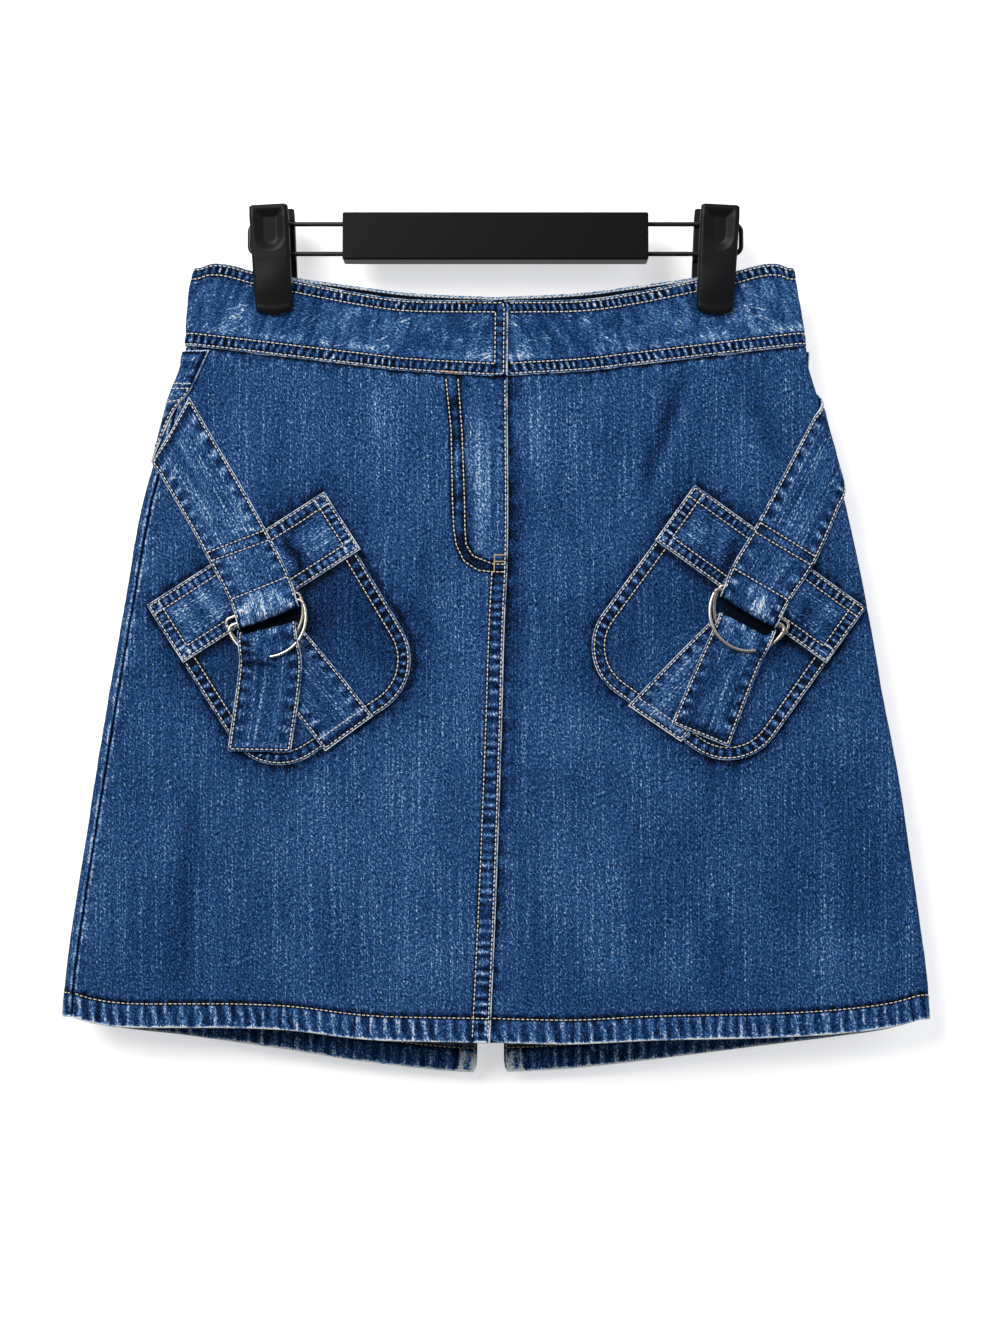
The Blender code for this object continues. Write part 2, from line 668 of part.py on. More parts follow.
def ring_path():
    """One D-ring in its own plane: a straight bar with round corners, two short legs and a half circle."""
    corner = np.linspace(0, np.pi / 2, 4)
    arc = np.linspace(0, np.pi, 15)
    c = RING_CORNER
    right = RING_HALF - c + c * np.sin(corner), c - c * np.cos(corner)
    across = np.concatenate([right[0], RING_HALF * np.cos(arc), -right[0][::-1]])
    down = np.concatenate([right[1], RING_LEGS + RING_HALF * np.sin(arc), right[1][::-1]])
    return across, down


def make_ring(name, side, shift, bar_inset, bar_lift, arc_lift):
    """A ring hangs in the upper strap's fold, shifted along it, and leans from its bar's height to its arc's."""
    fold = np.array(UPPER_STRAPS[side][0], float)
    sign = -1 if side == "left" else 1
    inner, outer = fold[:2], fold[2:]
    across_axis = (outer - inner) / np.linalg.norm(outer - inner)
    down_axis = np.array([-across_axis[1], across_axis[0]])
    if down_axis[1] < 0:
        down_axis = -down_axis
    across, down = ring_path()
    centre = (inner + outer) / 2 + across_axis * shift - down_axis * bar_inset
    flat = centre + across[:, None] * across_axis + down[:, None] * down_axis
    lift = bar_lift + (arc_lift - bar_lift) * down / down.max()
    wire(f"ring_{name}_{side}", skin(sign * flat[:, 0], flat[:, 1], lift) * MM, RING_WIRE, "nickel", 1)


def wire(name, points, radius, kind, resolution):
    """A closed wire: a curve through the points with a round bevel."""
    data = bpy.data.curves.new(name, "CURVE")
    data.dimensions = "3D"
    line = data.splines.new("POLY")
    line.points.add(len(points) - 1)
    line.points.foreach_set("co", np.column_stack([points, np.ones(len(points))]).ravel())
    line.use_cyclic_u = True
    data.bevel_depth = radius * MM
    data.bevel_resolution = resolution
    item = bpy.data.objects.new(name, data)
    data.materials.append(finish(name, *FINISHES[kind]))
    PARTS.objects.link(item)
    return item


# Hanger

def hidden_cutter(item):
    for group in list(item.users_collection):
        group.objects.unlink(item)
    CUTTERS.objects.link(item)
    item.hide_render = True
    item.display_type = "WIRE"
    return item


def cut(item, cutter):
    modifier = item.modifiers.new("Cut", "BOOLEAN")
    modifier.operation = "DIFFERENCE"
    modifier.solver = "EXACT"
    modifier.object = cutter


def make_bar():
    mesh = bpy.data.meshes.new("hanger_bar")
    block = bmesh.new()
    bmesh.ops.create_cube(block, size=1.0)
    size = Matrix.Diagonal((BAR_LENGTH * MM, BAR_DEPTH * MM, BAR_HEIGHT * MM, 1.0))
    lower = Matrix.Translation((0, 0, -BAR_HEIGHT / 2 * MM))
    bmesh.ops.transform(block, matrix=lower @ size, verts=block.verts)
    block.to_mesh(mesh)
    block.free()
    item = place("hanger_bar", mesh, "black_plastic")
    edge = item.modifiers.new("Edge", "BEVEL")
    edge.width = BAR_ROUND * MM
    edge.segments = 2
    for height in (WIRE_TOP, WIRE_BOTTOM):
        bore_mesh = bpy.data.meshes.new("bore")
        bore = bmesh.new()
        bmesh.ops.create_cone(
            bore, cap_ends=True, segments=12, radius1=WIRE_BORE * MM, radius2=WIRE_BORE * MM,
            depth=(BAR_LENGTH + 20) * MM,
        )
        turn = Matrix.Translation((0, 0, -height * MM)) @ Matrix.Rotation(math.pi / 2, 4, "Y")
        bmesh.ops.transform(bore, matrix=turn, verts=bore.verts)
        bore.to_mesh(bore_mesh)
        bore.free()
        cutter = bpy.data.objects.new(f"bore_{height:.0f}", bore_mesh)
        bpy.context.scene.collection.objects.link(cutter)
        cut(item, hidden_cutter(cutter))


def make_wire():
    """One closed wire: two long rods through the bar, joined by rounded ends."""
    quarter = np.linspace(0, np.pi / 2, 5)
    half = (WIRE_BOTTOM - WIRE_TOP) / 2
    reach = WIRE_HALF - WIRE_CORNER
    rise = half - WIRE_CORNER
    points = []
    for start, sign_x, sign_z in ((0, 1, 1), (1, 1, -1), (2, -1, -1), (3, -1, 1)):
        angle = np.pi / 2 - quarter - start * np.pi / 2
        x = sign_x * reach + WIRE_CORNER * np.cos(angle)
        z = sign_z * rise + WIRE_CORNER * np.sin(angle)
        points.append(np.stack([x, np.zeros_like(x), z - (WIRE_TOP + half)], axis=-1))
    wire("hanger_wire", np.concatenate(points) * MM, WIRE_RADIUS, "black_wire", 2)


def jaw_mesh(name, front):
    """A clip jaw lofted through the table's sections, their outer corners rounded."""
    height, width, inner, outer = np.array(JAW).T
    half = width * CLIP_WIDTH / 2
    low_corner, high_corner = 1 - 2 * JAW_CORNER, 1 - JAW_CORNER / 2
    x_shares = np.array([-1.0, -1.0, -0.93, -0.6, 0.0, 0.6, 0.93, 1.0, 1.0, 0.6, 0.0, -0.6])
    y_shares = np.array([0.0, low_corner, high_corner, 1, 1, 1, high_corner, low_corner, 0, 0, 0, 0])
    x = half[:, None] * x_shares
    y = inner[:, None] + (outer - inner)[:, None] * y_shares
    low = ease(CLIP_BOTTOM + CLIP_BOW_REACH, CLIP_BOTTOM, height)[:, None]
    z = height[:, None] - CLIP_BOW * low * (1 - x_shares**2)
    points = np.stack([x, -y if front else y, z + 0 * x], axis=-1) * MM
    rows, columns, _ = points.shape
    index = np.arange(rows * columns).reshape(rows, columns)
    onward = np.roll(index, -1, axis=1)
    faces = np.stack([index[:-1], index[1:], onward[1:], onward[:-1]], axis=-1).reshape(-1, 4).tolist()
    strips = ((0, 1, 2, 3, 11), (11, 3, 4, 10), (10, 4, 5, 9), (9, 5, 6, 7, 8))
    for strip in strips:
        faces += [index[0][list(strip)].tolist(), index[-1][list(strip)][::-1].tolist()]
    mesh = bpy.data.meshes.new(name)
    mesh.from_pydata(points.reshape(-1, 3).tolist(), [], faces)
    solid = bmesh.new()
    solid.from_mesh(mesh)
    bmesh.ops.recalc_face_normals(solid, faces=solid.faces)
    solid.to_mesh(mesh)
    solid.free()
    mesh.set_sharp_from_angle(angle=math.radians(35))
    return mesh


def recess_cutter(name):
    """The thumb recess: a U-shaped outline, wide at the face and smaller at its floor."""
    turn = np.linspace(0, np.pi, 9)
    rings = []
    for half, top, bottom, y in RECESS_SECTIONS:
        x = np.concatenate([[-half, half], half * np.cos(turn)[1:-1]])
        z = np.concatenate([[top, top], bottom + half - half * np.sin(turn)[1:-1]])
        rings.append(np.stack([x, np.full_like(x, -y), z], axis=-1) * MM)
    count = len(rings[0])
    faces = [[k, (k + 1) % count, count + (k + 1) % count, count + k] for k in range(count)]
    faces += [list(range(count))[::-1], [count + k for k in range(count)]]
    mesh = bpy.data.meshes.new(name)
    mesh.from_pydata(np.concatenate(rings).tolist(), [], faces)
    solid = bmesh.new()
    solid.from_mesh(mesh)
    bmesh.ops.recalc_face_normals(solid, faces=solid.faces)
    solid.to_mesh(mesh)
    solid.free()
    item = bpy.data.objects.new(name, mesh)
    bpy.context.scene.collection.objects.link(item)
    return hidden_cutter(item)


def make_clips():
    for side, x, tilt, rear_shift in CLIPS:
        turn = Matrix.Rotation(math.radians(-tilt), 4, "Y")
        for jaw, shift in (("front", 0.0), ("rear", rear_shift)):
            name = f"clip_{side}_{jaw}_jaw"
            item = place(name, jaw_mesh(name, jaw == "front"), "black_plastic")
            here = Matrix.Translation(((x + shift) * MM, 0, 0)) @ turn
            item.matrix_world = here
            if jaw == "front":
                cutter = recess_cutter(f"recess_{side}")
                cutter.matrix_world = here
                cut(item, cutter)


PARTS, CUTTERS = start_clean()
make_panels()
make_waistband()
for pocket_row in POCKETS:
    make_pocket(*pocket_row)
for strap_side, strap_sign in (("left", -1), ("right", 1)):
    make_upper_strap(strap_side, strap_sign)
    make_lower_strap(strap_side, strap_sign)
    make_side_tab(strap_side, strap_sign)
for ring_row in RINGS:
    make_ring(*ring_row)
make_bar()
make_wire()
make_clips()
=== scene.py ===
# %% [markdown]
# # A denim mini skirt on a clip hanger
#
# The frame holds the plain solids: panels, waistband, pockets, straps, rings and the hanger.
# This lesson dresses them. Each cloth piece becomes a thin shell on its solid's own form, with the small
# relief that sewing and washing leave, and every thread, ring and clip is made as it really is.
# The first cell loads the frame and keeps its box. The finished skirt may reach only a little past it.

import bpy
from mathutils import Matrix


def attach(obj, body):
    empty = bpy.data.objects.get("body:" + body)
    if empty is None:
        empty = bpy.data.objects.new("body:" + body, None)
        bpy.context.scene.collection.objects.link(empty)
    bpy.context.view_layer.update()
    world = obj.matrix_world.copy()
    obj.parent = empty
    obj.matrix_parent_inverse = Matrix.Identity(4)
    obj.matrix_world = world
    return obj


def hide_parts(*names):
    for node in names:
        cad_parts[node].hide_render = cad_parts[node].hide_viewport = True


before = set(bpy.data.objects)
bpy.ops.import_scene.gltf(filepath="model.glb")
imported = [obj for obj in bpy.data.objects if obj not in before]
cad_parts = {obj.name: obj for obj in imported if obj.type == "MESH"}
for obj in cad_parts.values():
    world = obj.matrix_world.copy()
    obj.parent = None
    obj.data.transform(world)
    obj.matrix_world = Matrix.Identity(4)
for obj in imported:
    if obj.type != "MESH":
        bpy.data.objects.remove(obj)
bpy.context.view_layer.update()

import math
from types import SimpleNamespace

import bpy
import numpy as np

MM = 0.001

# %% [markdown]
# ## Curves, steps and noise
#
# A pattern maker reads a shape from a few measured points and draws a smooth line through them.
# Small functions do the same here: a curve through a table, a soft step, a soft hump, and an even noise for
# all that is uneven in washed cloth. Blender's own noise would do as well, but an array of numbers is quick
# and gives the same lumps in each run.

# %% Curves, steps and noise
LATTICE_SIZE = 256
LATTICE = np.random.default_rng(11).uniform(-1, 1, (LATTICE_SIZE, LATTICE_SIZE))


def column(table, index):
    """One column of a table, as an array."""
    return np.array([row[index] for row in table], float)


def smooth(knots, values, at):
    """A curve through the points: cubic pieces whose slopes are the mean of the neighbouring chords."""
    knots, values = np.asarray(knots, float), np.asarray(values, float)
    chords = np.diff(values) / np.diff(knots)
    slopes = np.concatenate(([chords[0]], (chords[:-1] + chords[1:]) / 2, [chords[-1]]))
    at = np.clip(np.asarray(at, float), knots[0], knots[-1])
    i = np.clip(np.searchsorted(knots, at) - 1, 0, len(knots) - 2)
    gap = knots[i + 1] - knots[i]
    t = (at - knots[i]) / gap
    rest = 1 - t
    return (
        values[i] * (1 + 2 * t) * rest**2
        + slopes[i] * gap * t * rest**2
        + values[i + 1] * t**2 * (3 - 2 * t)
        - slopes[i + 1] * gap * t**2 * rest
    )


def curve(table, index, at):
    """The smooth curve through one column of a table, read against its first column."""
    return smooth(column(table, 0), column(table, index), at)


def ease(low, high, at):
    """0 below low, 1 above high, and 3t^2 - 2t^3 between."""
    t = np.clip((at - low) / (high - low), 0, 1)
    return t * t * (3 - 2 * t)


def bell(x):
    """A soft hump: 1 at zero, a third at one and nearly nothing at two, on both sides."""
    return np.exp(-(x**2))


def unit(vectors):
    """Vectors of length one, the same way."""
    return vectors / np.maximum(np.linalg.norm(vectors, axis=-1, keepdims=True), 1e-9)


def gone(points):
    """The distance gone along a path at each of its points."""
    return np.concatenate([[0.0], np.cumsum(np.linalg.norm(np.diff(points, axis=0), axis=1))])


def noise(x, y=0.0, seed=0):
    """Uneven heights from -1 to 1: random values at whole x and y, and an eased mix of four between them."""
    x, y = np.broadcast_arrays(np.asarray(x, float), np.asarray(y, float))
    i, j = np.floor(x).astype(int), np.floor(y).astype(int)
    u, v = ease(0, 1, x - i), ease(0, 1, y - j)

    def at(right, down):
        return LATTICE[(i + right + 37 * seed) % LATTICE_SIZE, (j + down + 91 * seed) % LATTICE_SIZE]

    return (at(0, 0) * (1 - u) + at(1, 0) * u) * (1 - v) + (at(0, 1) * (1 - u) + at(1, 1) * u) * v


print("noise spans", np.round([noise(np.arange(99) / 3).min(), noise(np.arange(99) / 3).max()], 2))

# %% [markdown]
# ## The skirt's form
#
# The skirt hangs as a flat tube: a front and a back, joined by a round fold at each side.
# A point on it has a "walk", the distance along the cloth from the centre front, and a "drop", the distance
# down from the hanger. One function turns walk, drop and a small lift into a point in space. The tables are
# the garment's own measures in millimetres, the same ones that its solids are built from, so the shells lie
# on the solids by themselves.

# %% The skirt's form
# Columns: drop, left, right
OUTLINE = (
    (26, 172, 171.8), (37, 175.6, 173), (50, 177.6, 175.3), (74, 178.9, 178.9),
    (88, 180.4, 180.8), (105, 186.8, 185.8), (122, 191.4, 190), (143, 197, 195.8),
    (166, 203.6, 201.8), (223, 214.2, 214.2), (281, 224.1, 224.6), (338, 233.3, 235),
    (396, 242.6, 243.7), (453, 250.1, 250.7), (500, 252, 252.5),
)
# Columns: drop, fold_radius, front, back
DEPTH = (
    (26, 3.4, 4.2, 4.6), (80, 4.2, 5.2, 5.4), (170, 5.5, 7, 7.5), (320, 5.8, 9.5, 11),
    (500, 6.2, 12, 14),
)
PINCH_SHARE = 0.73
PINCH_FADE = (60.0, 170.0)
SWELL_POWER = 1.5
# Columns: share, spread, height, start
FRONT_WAVES = (
    (-0.62, 0.13, -1.6, 250), (-0.28, 0.12, 1.5, 320), (0.34, 0.11, 1.8, 260),
    (0.66, 0.13, -1.5, 290),
)
BACK_WAVES = (
    (-0.70, 0.14, 1.8, 220), (-0.35, 0.12, -1.7, 260), (0.30, 0.13, -1.6, 240),
    (0.62, 0.14, 2, 200),
)
WAVE_END = 498.0


def fold_radius(drop):
    """Radius of the round fold at each side."""
    return curve(DEPTH, 1, drop)


def flat_reach(drop, side):
    """Width of the flat part, from the centre line to where the side fold starts."""
    left, right = (curve(OUTLINE, k, drop) for k in (1, 2))
    return np.where(np.asarray(side) < 0, left, right) - fold_radius(drop)


def stand_out(share, drop, back):
    """How far the cloth stands out from the side folds: a lens across it, pinched flat by the clips."""
    swell = curve(DEPTH, 3 if back else 2, drop)
    share = np.clip(share, -1, 1)
    pinched = np.cos(np.pi / 2 * np.clip(share / PINCH_SHARE, -1, 1)) ** 2
    free = (1 - share**2) ** SWELL_POWER
    away = ease(*PINCH_FADE, drop)
    height = swell * (pinched * (1 - away) + free * away)
    edge = 1 - share**8
    for centre, spread, wave, start in BACK_WAVES if back else FRONT_WAVES:
        height = height + wave * edge * bell((share - centre) / spread) * ease(start, WAVE_END, drop)
    return height


def skin(walk, drop, lift=0.0):
    """Points of the outer surface: flat front, half a turn round the side fold, flat back, out by lift."""
    walk, drop, lift = np.broadcast_arrays(*(np.asarray(part, float) for part in (walk, drop, lift)))
    sign = np.where(walk < 0, -1.0, 1.0)
    flat = flat_reach(drop, walk)
    radius = fold_radius(drop)
    along = np.abs(walk)
    turn = np.clip((along - flat) / radius, 0, np.pi)
    on_back = along > flat + np.pi * radius
    inside = np.where(along <= flat, along, np.where(on_back, 2 * flat + np.pi * radius - along, flat))
    share = sign * inside / flat
    x = inside + np.where((turn > 0) & ~on_back, (radius + lift) * np.sin(turn), 0.0)
    front = radius + lift + stand_out(share, drop, False)
    rear = radius + lift + stand_out(share, drop, True)
    y = np.where(along <= flat, -front, np.where(on_back, rear, -(radius + lift) * np.cos(turn)))
    return np.stack([sign * x, y, -drop], axis=-1)


print("flat half width at the hem:", round(float(flat_reach(466.0, 1)), 1), "mm")
print("radius of the side fold there:", round(float(fold_radius(466.0)), 1), "mm")

# %% [markdown]
# ## Edges across and down
#
# Every panel lies between four edges: two lines down the skirt and two lines across it. The cut is given by
# tables too, and a piece's own positions are counted in millimetres from its edges, because stitches keep
# a true distance to an edge while the middle of the panel widens towards the hem.

# %% Edges across and down
# Columns: share, top, bottom, back_rise
BAND_EDGES = (
    (0.00, 50.6, 94.4, 3.8), (0.31, 49.5, 91, 5.2), (0.46, 45.7, 87.7, 4.6), (0.66, 38.8, 83.4, 2.2),
    (0.80, 33.9, 80.4, 0.8), (0.96, 28.7, 77.2, 0), (1.00, 31, 76.4, 0),
)
# Columns: share, front, back
HEM = (
    (-1.00, 463.4, 463.4), (-0.96, 466.4, 467.4), (-0.89, 469, 470.6), (-0.74, 469.4, 475.4),
    (-0.63, 469.3, 479.4), (-0.49, 470.3, 484.6), (-0.30, 475.2, 492), (-0.06, 476.8, 498.2),
    (0.06, 477.4, 497.6), (0.18, 477.9, 495.8), (0.36, 475.8, 490.6), (0.63, 475.1, 482),
    (0.81, 472.8, 475.8), (0.94, 468.8, 470.4), (1.00, 464.8, 464.8),
)
BACK_SEAM_RISE = 0.6
GAP = 0.3
BAND_SEAM = 0.5
LAP = 9.0
# Columns: drop, edge
LAP_EDGE = ((50.0, 7.4), (94.0, 7.0), (200.0, 7.0), (235.0, 5.4), (300.0, 3.6), (400.0, 0.2), (480.0, -3.2))
LAP_RAISE = 0.6
LAP_BLEND = 14.0
UNDERLAP = 22.0
SLIT_TOP = 412.0
SLIT_FOOT = 498.0
SLIT_STRAIGHT = 474.0
SLIT_HALF = 7.6
SLIT_CORNER = 2.4
SLIT_CORNER_REACH = 9.0
SLIT_CENTRE = -2.9
TRUE_ZONE = 16.0
FIRST_GUESS = 90.0
SETTLING_ROUNDS = 6


def fold_start(drop, side):
    """Walk at which the side fold starts. side is -1 on the left and 1 on the right."""
    return side * flat_reach(drop, side)


def fold_end(drop, side):
    """Walk at which the side fold has turned to the back."""
    return side * (flat_reach(drop, side) + np.pi * fold_radius(drop))


def centre_back(drop, side):
    """Walk of the centre back, as it is reached round the given side."""
    return side * (2 * flat_reach(drop, side) + np.pi * fold_radius(drop))


def lap_edge(drop):
    """Walk of the left front's edge, where it laps over the right front."""
    return curve(LAP_EDGE, 1, drop)


def slit_line(drop, side):
    """The back panels' edge at the centre: a seam down to the slit's top, then curving apart, then straight
    down with a round corner at the foot."""
    opening = np.clip((drop - SLIT_TOP) / (SLIT_STRAIGHT - SLIT_TOP), 0, 1) ** 2
    corner_share = (drop - SLIT_FOOT + SLIT_CORNER_REACH) / SLIT_CORNER_REACH
    corner = SLIT_CORNER * np.clip(corner_share, 0, 1.2) ** 3
    return centre_back(drop, side) - SLIT_CENTRE * opening - side * (GAP / 2 + SLIT_HALF * opening + corner)


def width_share(walk, drop):
    """How far out a point lies, 0 at the centre line and 1 on the side fold, on the front and on the back."""
    flat = flat_reach(drop, walk)
    past = np.clip(np.abs(walk) - flat - np.pi * fold_radius(drop), 0, None)
    return np.clip((np.minimum(np.abs(walk), flat) - past) / flat, 0, 1)


def band_top(back):
    """Drop of the band's top edge for a share of the width. The back's edge stands a little higher."""
    return lambda share: curve(BAND_EDGES, 1, share) - back * curve(BAND_EDGES, 3, share)


def band_bottom(back, below=0.0):
    """Drop of the seam between the band and the panels, or of a line a little below it."""
    return lambda share: curve(BAND_EDGES, 2, share) + below - (
        back * BACK_SEAM_RISE * curve(BAND_EDGES, 3, share)
    )


def hem_line(back, side):
    """Drop of the hem for a share of the width on the given side."""
    return lambda share: curve(HEM, 2 if back else 1, side * share)


def stretched(start, stop, own, length):
    """Own positions laid between two lines: true near both ends, the difference spread over the middle."""
    share = np.clip((own - TRUE_ZONE) / (length - 2 * TRUE_ZONE), 0, 1)
    return start + own + (stop - start - length) * share


def lay_out(across, down, left, right, top, bottom):
    """Walk and drop of a piece's grid between its edge lines, settled in a few rounds."""
    across, down = across[None, :], down[:, None]
    drop = np.full((down.size, across.size), FIRST_GUESS) + down
    for _ in range(SETTLING_ROUNDS):
        walk = stretched(left(drop), right(drop), across, across.max())
        share = width_share(walk, drop)
        drop = stretched(top(share), bottom(share), down, down.max())
    return walk, drop


print("front length at the centre", round(float(hem_line(False, 1)(0.0) - band_top(False)(0.0)), 1), "mm")

# %% [markdown]
# ## Colours and shader nodes
#
# Colours are picked as screen values and a shader wants linear light, so one function converts them.
# Another small function adds a node with its settings and links, and two more use it for arithmetic and for
# a change of range. With these, a material reads as a short list of what the real finish is made of.

# %% Colours and shader nodes
def colour(hex_code):
    """Linear red, green and blue of a screen colour: the power curve of screens undone."""
    parts = np.array([int(hex_code[k:k + 2], 16) for k in (1, 3, 5)]) / 255
    linear = np.where(parts <= 0.04045, parts / 12.92, ((parts + 0.055) / 1.055) ** 2.4)
    return (*linear.tolist(), 1.0)


def node(tree, kind, settings=None, **inputs):
    """Adds a shader node. Names such as Base_Color or in_0 are its inputs, set to a value or a link."""
    made = tree.nodes.new("ShaderNode" + kind)
    for name, value in (settings or {}).items():
        setattr(made, name, value)
    for name, value in inputs.items():
        socket = made.inputs[int(name[3:]) if name.startswith("in_") else name.replace("_", " ")]
        if isinstance(value, bpy.types.NodeSocket):
            tree.links.new(value, socket)
        else:
            socket.default_value = value
    return made


def maths(tree, operation, *values):
    """One step of arithmetic on values or links."""
    inputs = {f"in_{k}": value for k, value in enumerate(values)}
    return node(tree, "Math", {"operation": operation}, **inputs).outputs[0]


def ranged(tree, value, low, high, start, stop):
    """A value brought from the range low to high into the range start to stop, and held at its ends."""
    return node(tree, "MapRange", in_0=value, in_1=low, in_2=high, in_3=start, in_4=stop).outputs[0]


def set_values(shader, **values):
    """Sets inputs of a node, such as Base_Color, to constant values. A text is a colour."""
    for name, value in values.items():
        value = colour(value) if isinstance(value, str) else value
        shader.inputs[name.replace("_", " ")].default_value = value


def new_material(name):
    """A new material, its node tree and its main shader."""
    material = bpy.data.materials.new(name)
    material.use_nodes = True
    tree = material.node_tree
    return material, tree, tree.nodes["Principled BSDF"]


def ramp(tree, factor, stops):
    """A colour ramp from (place, hex colour) pairs."""
    made = node(tree, "ValToRGB", Fac=factor)
    for index, (place, hex_code) in enumerate(stops):
        step = made.color_ramp.elements[index] if index < 2 else made.color_ramp.elements.new(place)
        step.position = place
        step.color = colour(hex_code)
    return made.outputs["Color"]


print("indigo in linear light:", np.round(colour("#2b4d7d")[:3], 3).tolist())

# %% [markdown]
# ## Washed denim
#
# Denim is a cotton twill: indigo warp threads over a white weft. The dye sits only on the outside of the
# warp, so washing and rubbing bring out white wherever the cloth stands proud, and thick spots in the yarn,
# the slubs, show as short pale streaks along the warp. The shell's own map gives the cloth's two directions
# in metres, and a value called wear_and_shade, painted point by point, says where the cloth is rubbed or
# still dark; it also carries painted shade in stitch channels and creases, beside raised pieces and under the
# straps.
# Yarns stand 0.45 mm apart, which is finer than the picture can show, so the grain is drawn two to four
# times as coarse. The cotton itself has the IOR of cellulose and hardly any gloss.

# %% Washed denim
GRAIN = (0.0010, 0.0018)
CURL = (0.0042, 0.0050)
CURL_LINES = 13.0
SLUB = (0.0010, 0.090)
SLUB_MIDDLE = 0.08
CLUSTER = (0.012, 0.080)
MOTTLE = (0.026, 0.038)
HAIRLINE = (0.0042, 0.024)
HAIRLINE_PATCH = (0.012, 0.020)
DENIM_STOPS = (
    (0.0, "#010713"), (1.0, "#d2d8da"), (0.2, "#061e3f"), (0.36, "#12325f"), (0.5, "#204574"),
    (0.64, "#376092"), (0.8, "#7293b8"),
)


def noise_layer(tree, place, size, turn=0.0, detail=1.0):
    """One layer of noise whose features are size metres across and along the cloth."""
    across, along = size
    turned = node(tree, "Mapping", Vector=place, Rotation=(0.0, 0.0, turn))
    moved = node(tree, "Mapping", Vector=turned.outputs["Vector"], Scale=(1 / across, 1 / along, 1.0))
    layer = node(
        tree, "TexNoise", {"noise_dimensions": "2D"}, Vector=moved.outputs["Vector"],
        Scale=1.0, Detail=detail, Roughness=0.6,
    )
    return layer.outputs["Fac"]


def weighted(tree, total, value, weight, middle=0.5):
    """total + (value - middle) x weight."""
    return maths(tree, "MULTIPLY_ADD", maths(tree, "SUBTRACT", value, middle), weight, total)


def hairlines(tree, place):
    """Thin broken creases that lean the same way on both halves: where stretched noise crosses its middle."""
    mirrored = node(tree, "VectorMath", {"operation": "ABSOLUTE"}, Vector=place).outputs["Vector"]
    wander = noise_layer(tree, mirrored, HAIRLINE, math.radians(24))
    away = maths(tree, "ABSOLUTE", maths(tree, "SUBTRACT", wander, 0.5))
    line = ranged(tree, away, 0.0, 0.03, 1.0, 0.0)
    there = ranged(tree, noise_layer(tree, mirrored, HAIRLINE_PATCH, 0.0, 0.5), 0.45, 0.6, 0.0, 1.0)
    return maths(tree, "MULTIPLY", line, there)


def denim(name, base, stops, grain=0.8, curl=0.13, slub=0.15, mottle=0.055, worn=0.46, hairline=0.0):
    """Washed denim. One value picks the colour from the stops: it starts at base, and twill, curled yarns,
    slubs, clouds, wear and fine creases each move it by their own weight."""
    material, tree, shader = new_material(name)
    place = node(tree, "UVMap", {"uv_map": "cloth"}).outputs["UV"]
    wear_and_shade = node(tree, "Attribute", {"attribute_name": "wear_and_shade"}).outputs["Fac"]
    twill = noise_layer(tree, place, GRAIN, math.radians(26))
    curls = noise_layer(tree, place, CURL, math.radians(35), 0.5)
    streaks = noise_layer(tree, place, SLUB)
    clusters = noise_layer(tree, place, CLUSTER)
    clouds = noise_layer(tree, place, MOTTLE, 0.3, 2.0)
    strands = maths(tree, "SINE", maths(tree, "MULTIPLY", curls, CURL_LINES * math.pi))
    peaks = ranged(tree, streaks, 0.54, 0.67, 0.0, 1.0)
    dotted = maths(tree, "MULTIPLY", peaks, ranged(tree, twill, 0.35, 0.6, 0.3, 1.2))
    slubs = maths(tree, "MULTIPLY", dotted, ranged(tree, clusters, 0.3, 0.62, 0.78, 1.0))
    value = weighted(tree, base, twill, grain)
    value = weighted(tree, value, strands, curl, 0.0)
    value = weighted(tree, value, slubs, slub, SLUB_MIDDLE)
    value = weighted(tree, value, clouds, mottle)
    value = weighted(tree, value, wear_and_shade, worn, 0.0)
    if hairline:
        value = weighted(tree, value, hairlines(tree, place), hairline, 0.0)
    tree.links.new(ramp(tree, value, stops), shader.inputs["Base Color"])
    set_values(shader, Roughness=0.9, IOR=1.47, Specular_IOR_Level=0.12)
    height = weighted(tree, twill, strands, 0.4)
    bump = node(tree, "Bump", Height=height, Strength=0.3, Distance=0.0004)
    tree.links.new(bump.outputs["Normal"], shader.inputs["Normal"])
    return material


REVERSE_STOPS = ((0.0, "#2b384c"), (1.0, "#b3b8bd"), (0.5, "#66748a"))
denim_face = denim("washed indigo cotton twill, face side", 0.447, DENIM_STOPS)
denim_strap = denim("washed indigo cotton twill, doubled straps", 0.455, DENIM_STOPS, slub=0.22)
denim_band = denim(
    "washed indigo cotton twill, interfaced band", 0.44, DENIM_STOPS, curl=0.1, slub=0.03, hairline=0.36
)
denim_reverse = denim("indigo cotton twill, reverse side", 0.5, REVERSE_STOPS, 0.5, 0.1)
print("materials:", [m.name for m in bpy.data.materials if "twill" in m.name])

# %% [markdown]
# ## Thread
#
# Jeans thread is a thick polyester core spun with cotton. Here it is cream at most seams, a little golden at
# the fly and the hem, and ochre at the bar tacks. A value called tone picks between cream and ochre for every
# stitch, and a fine mottling along each stitch stands for its twist.

# %% Thread
THREAD_TWIST = 0.0006


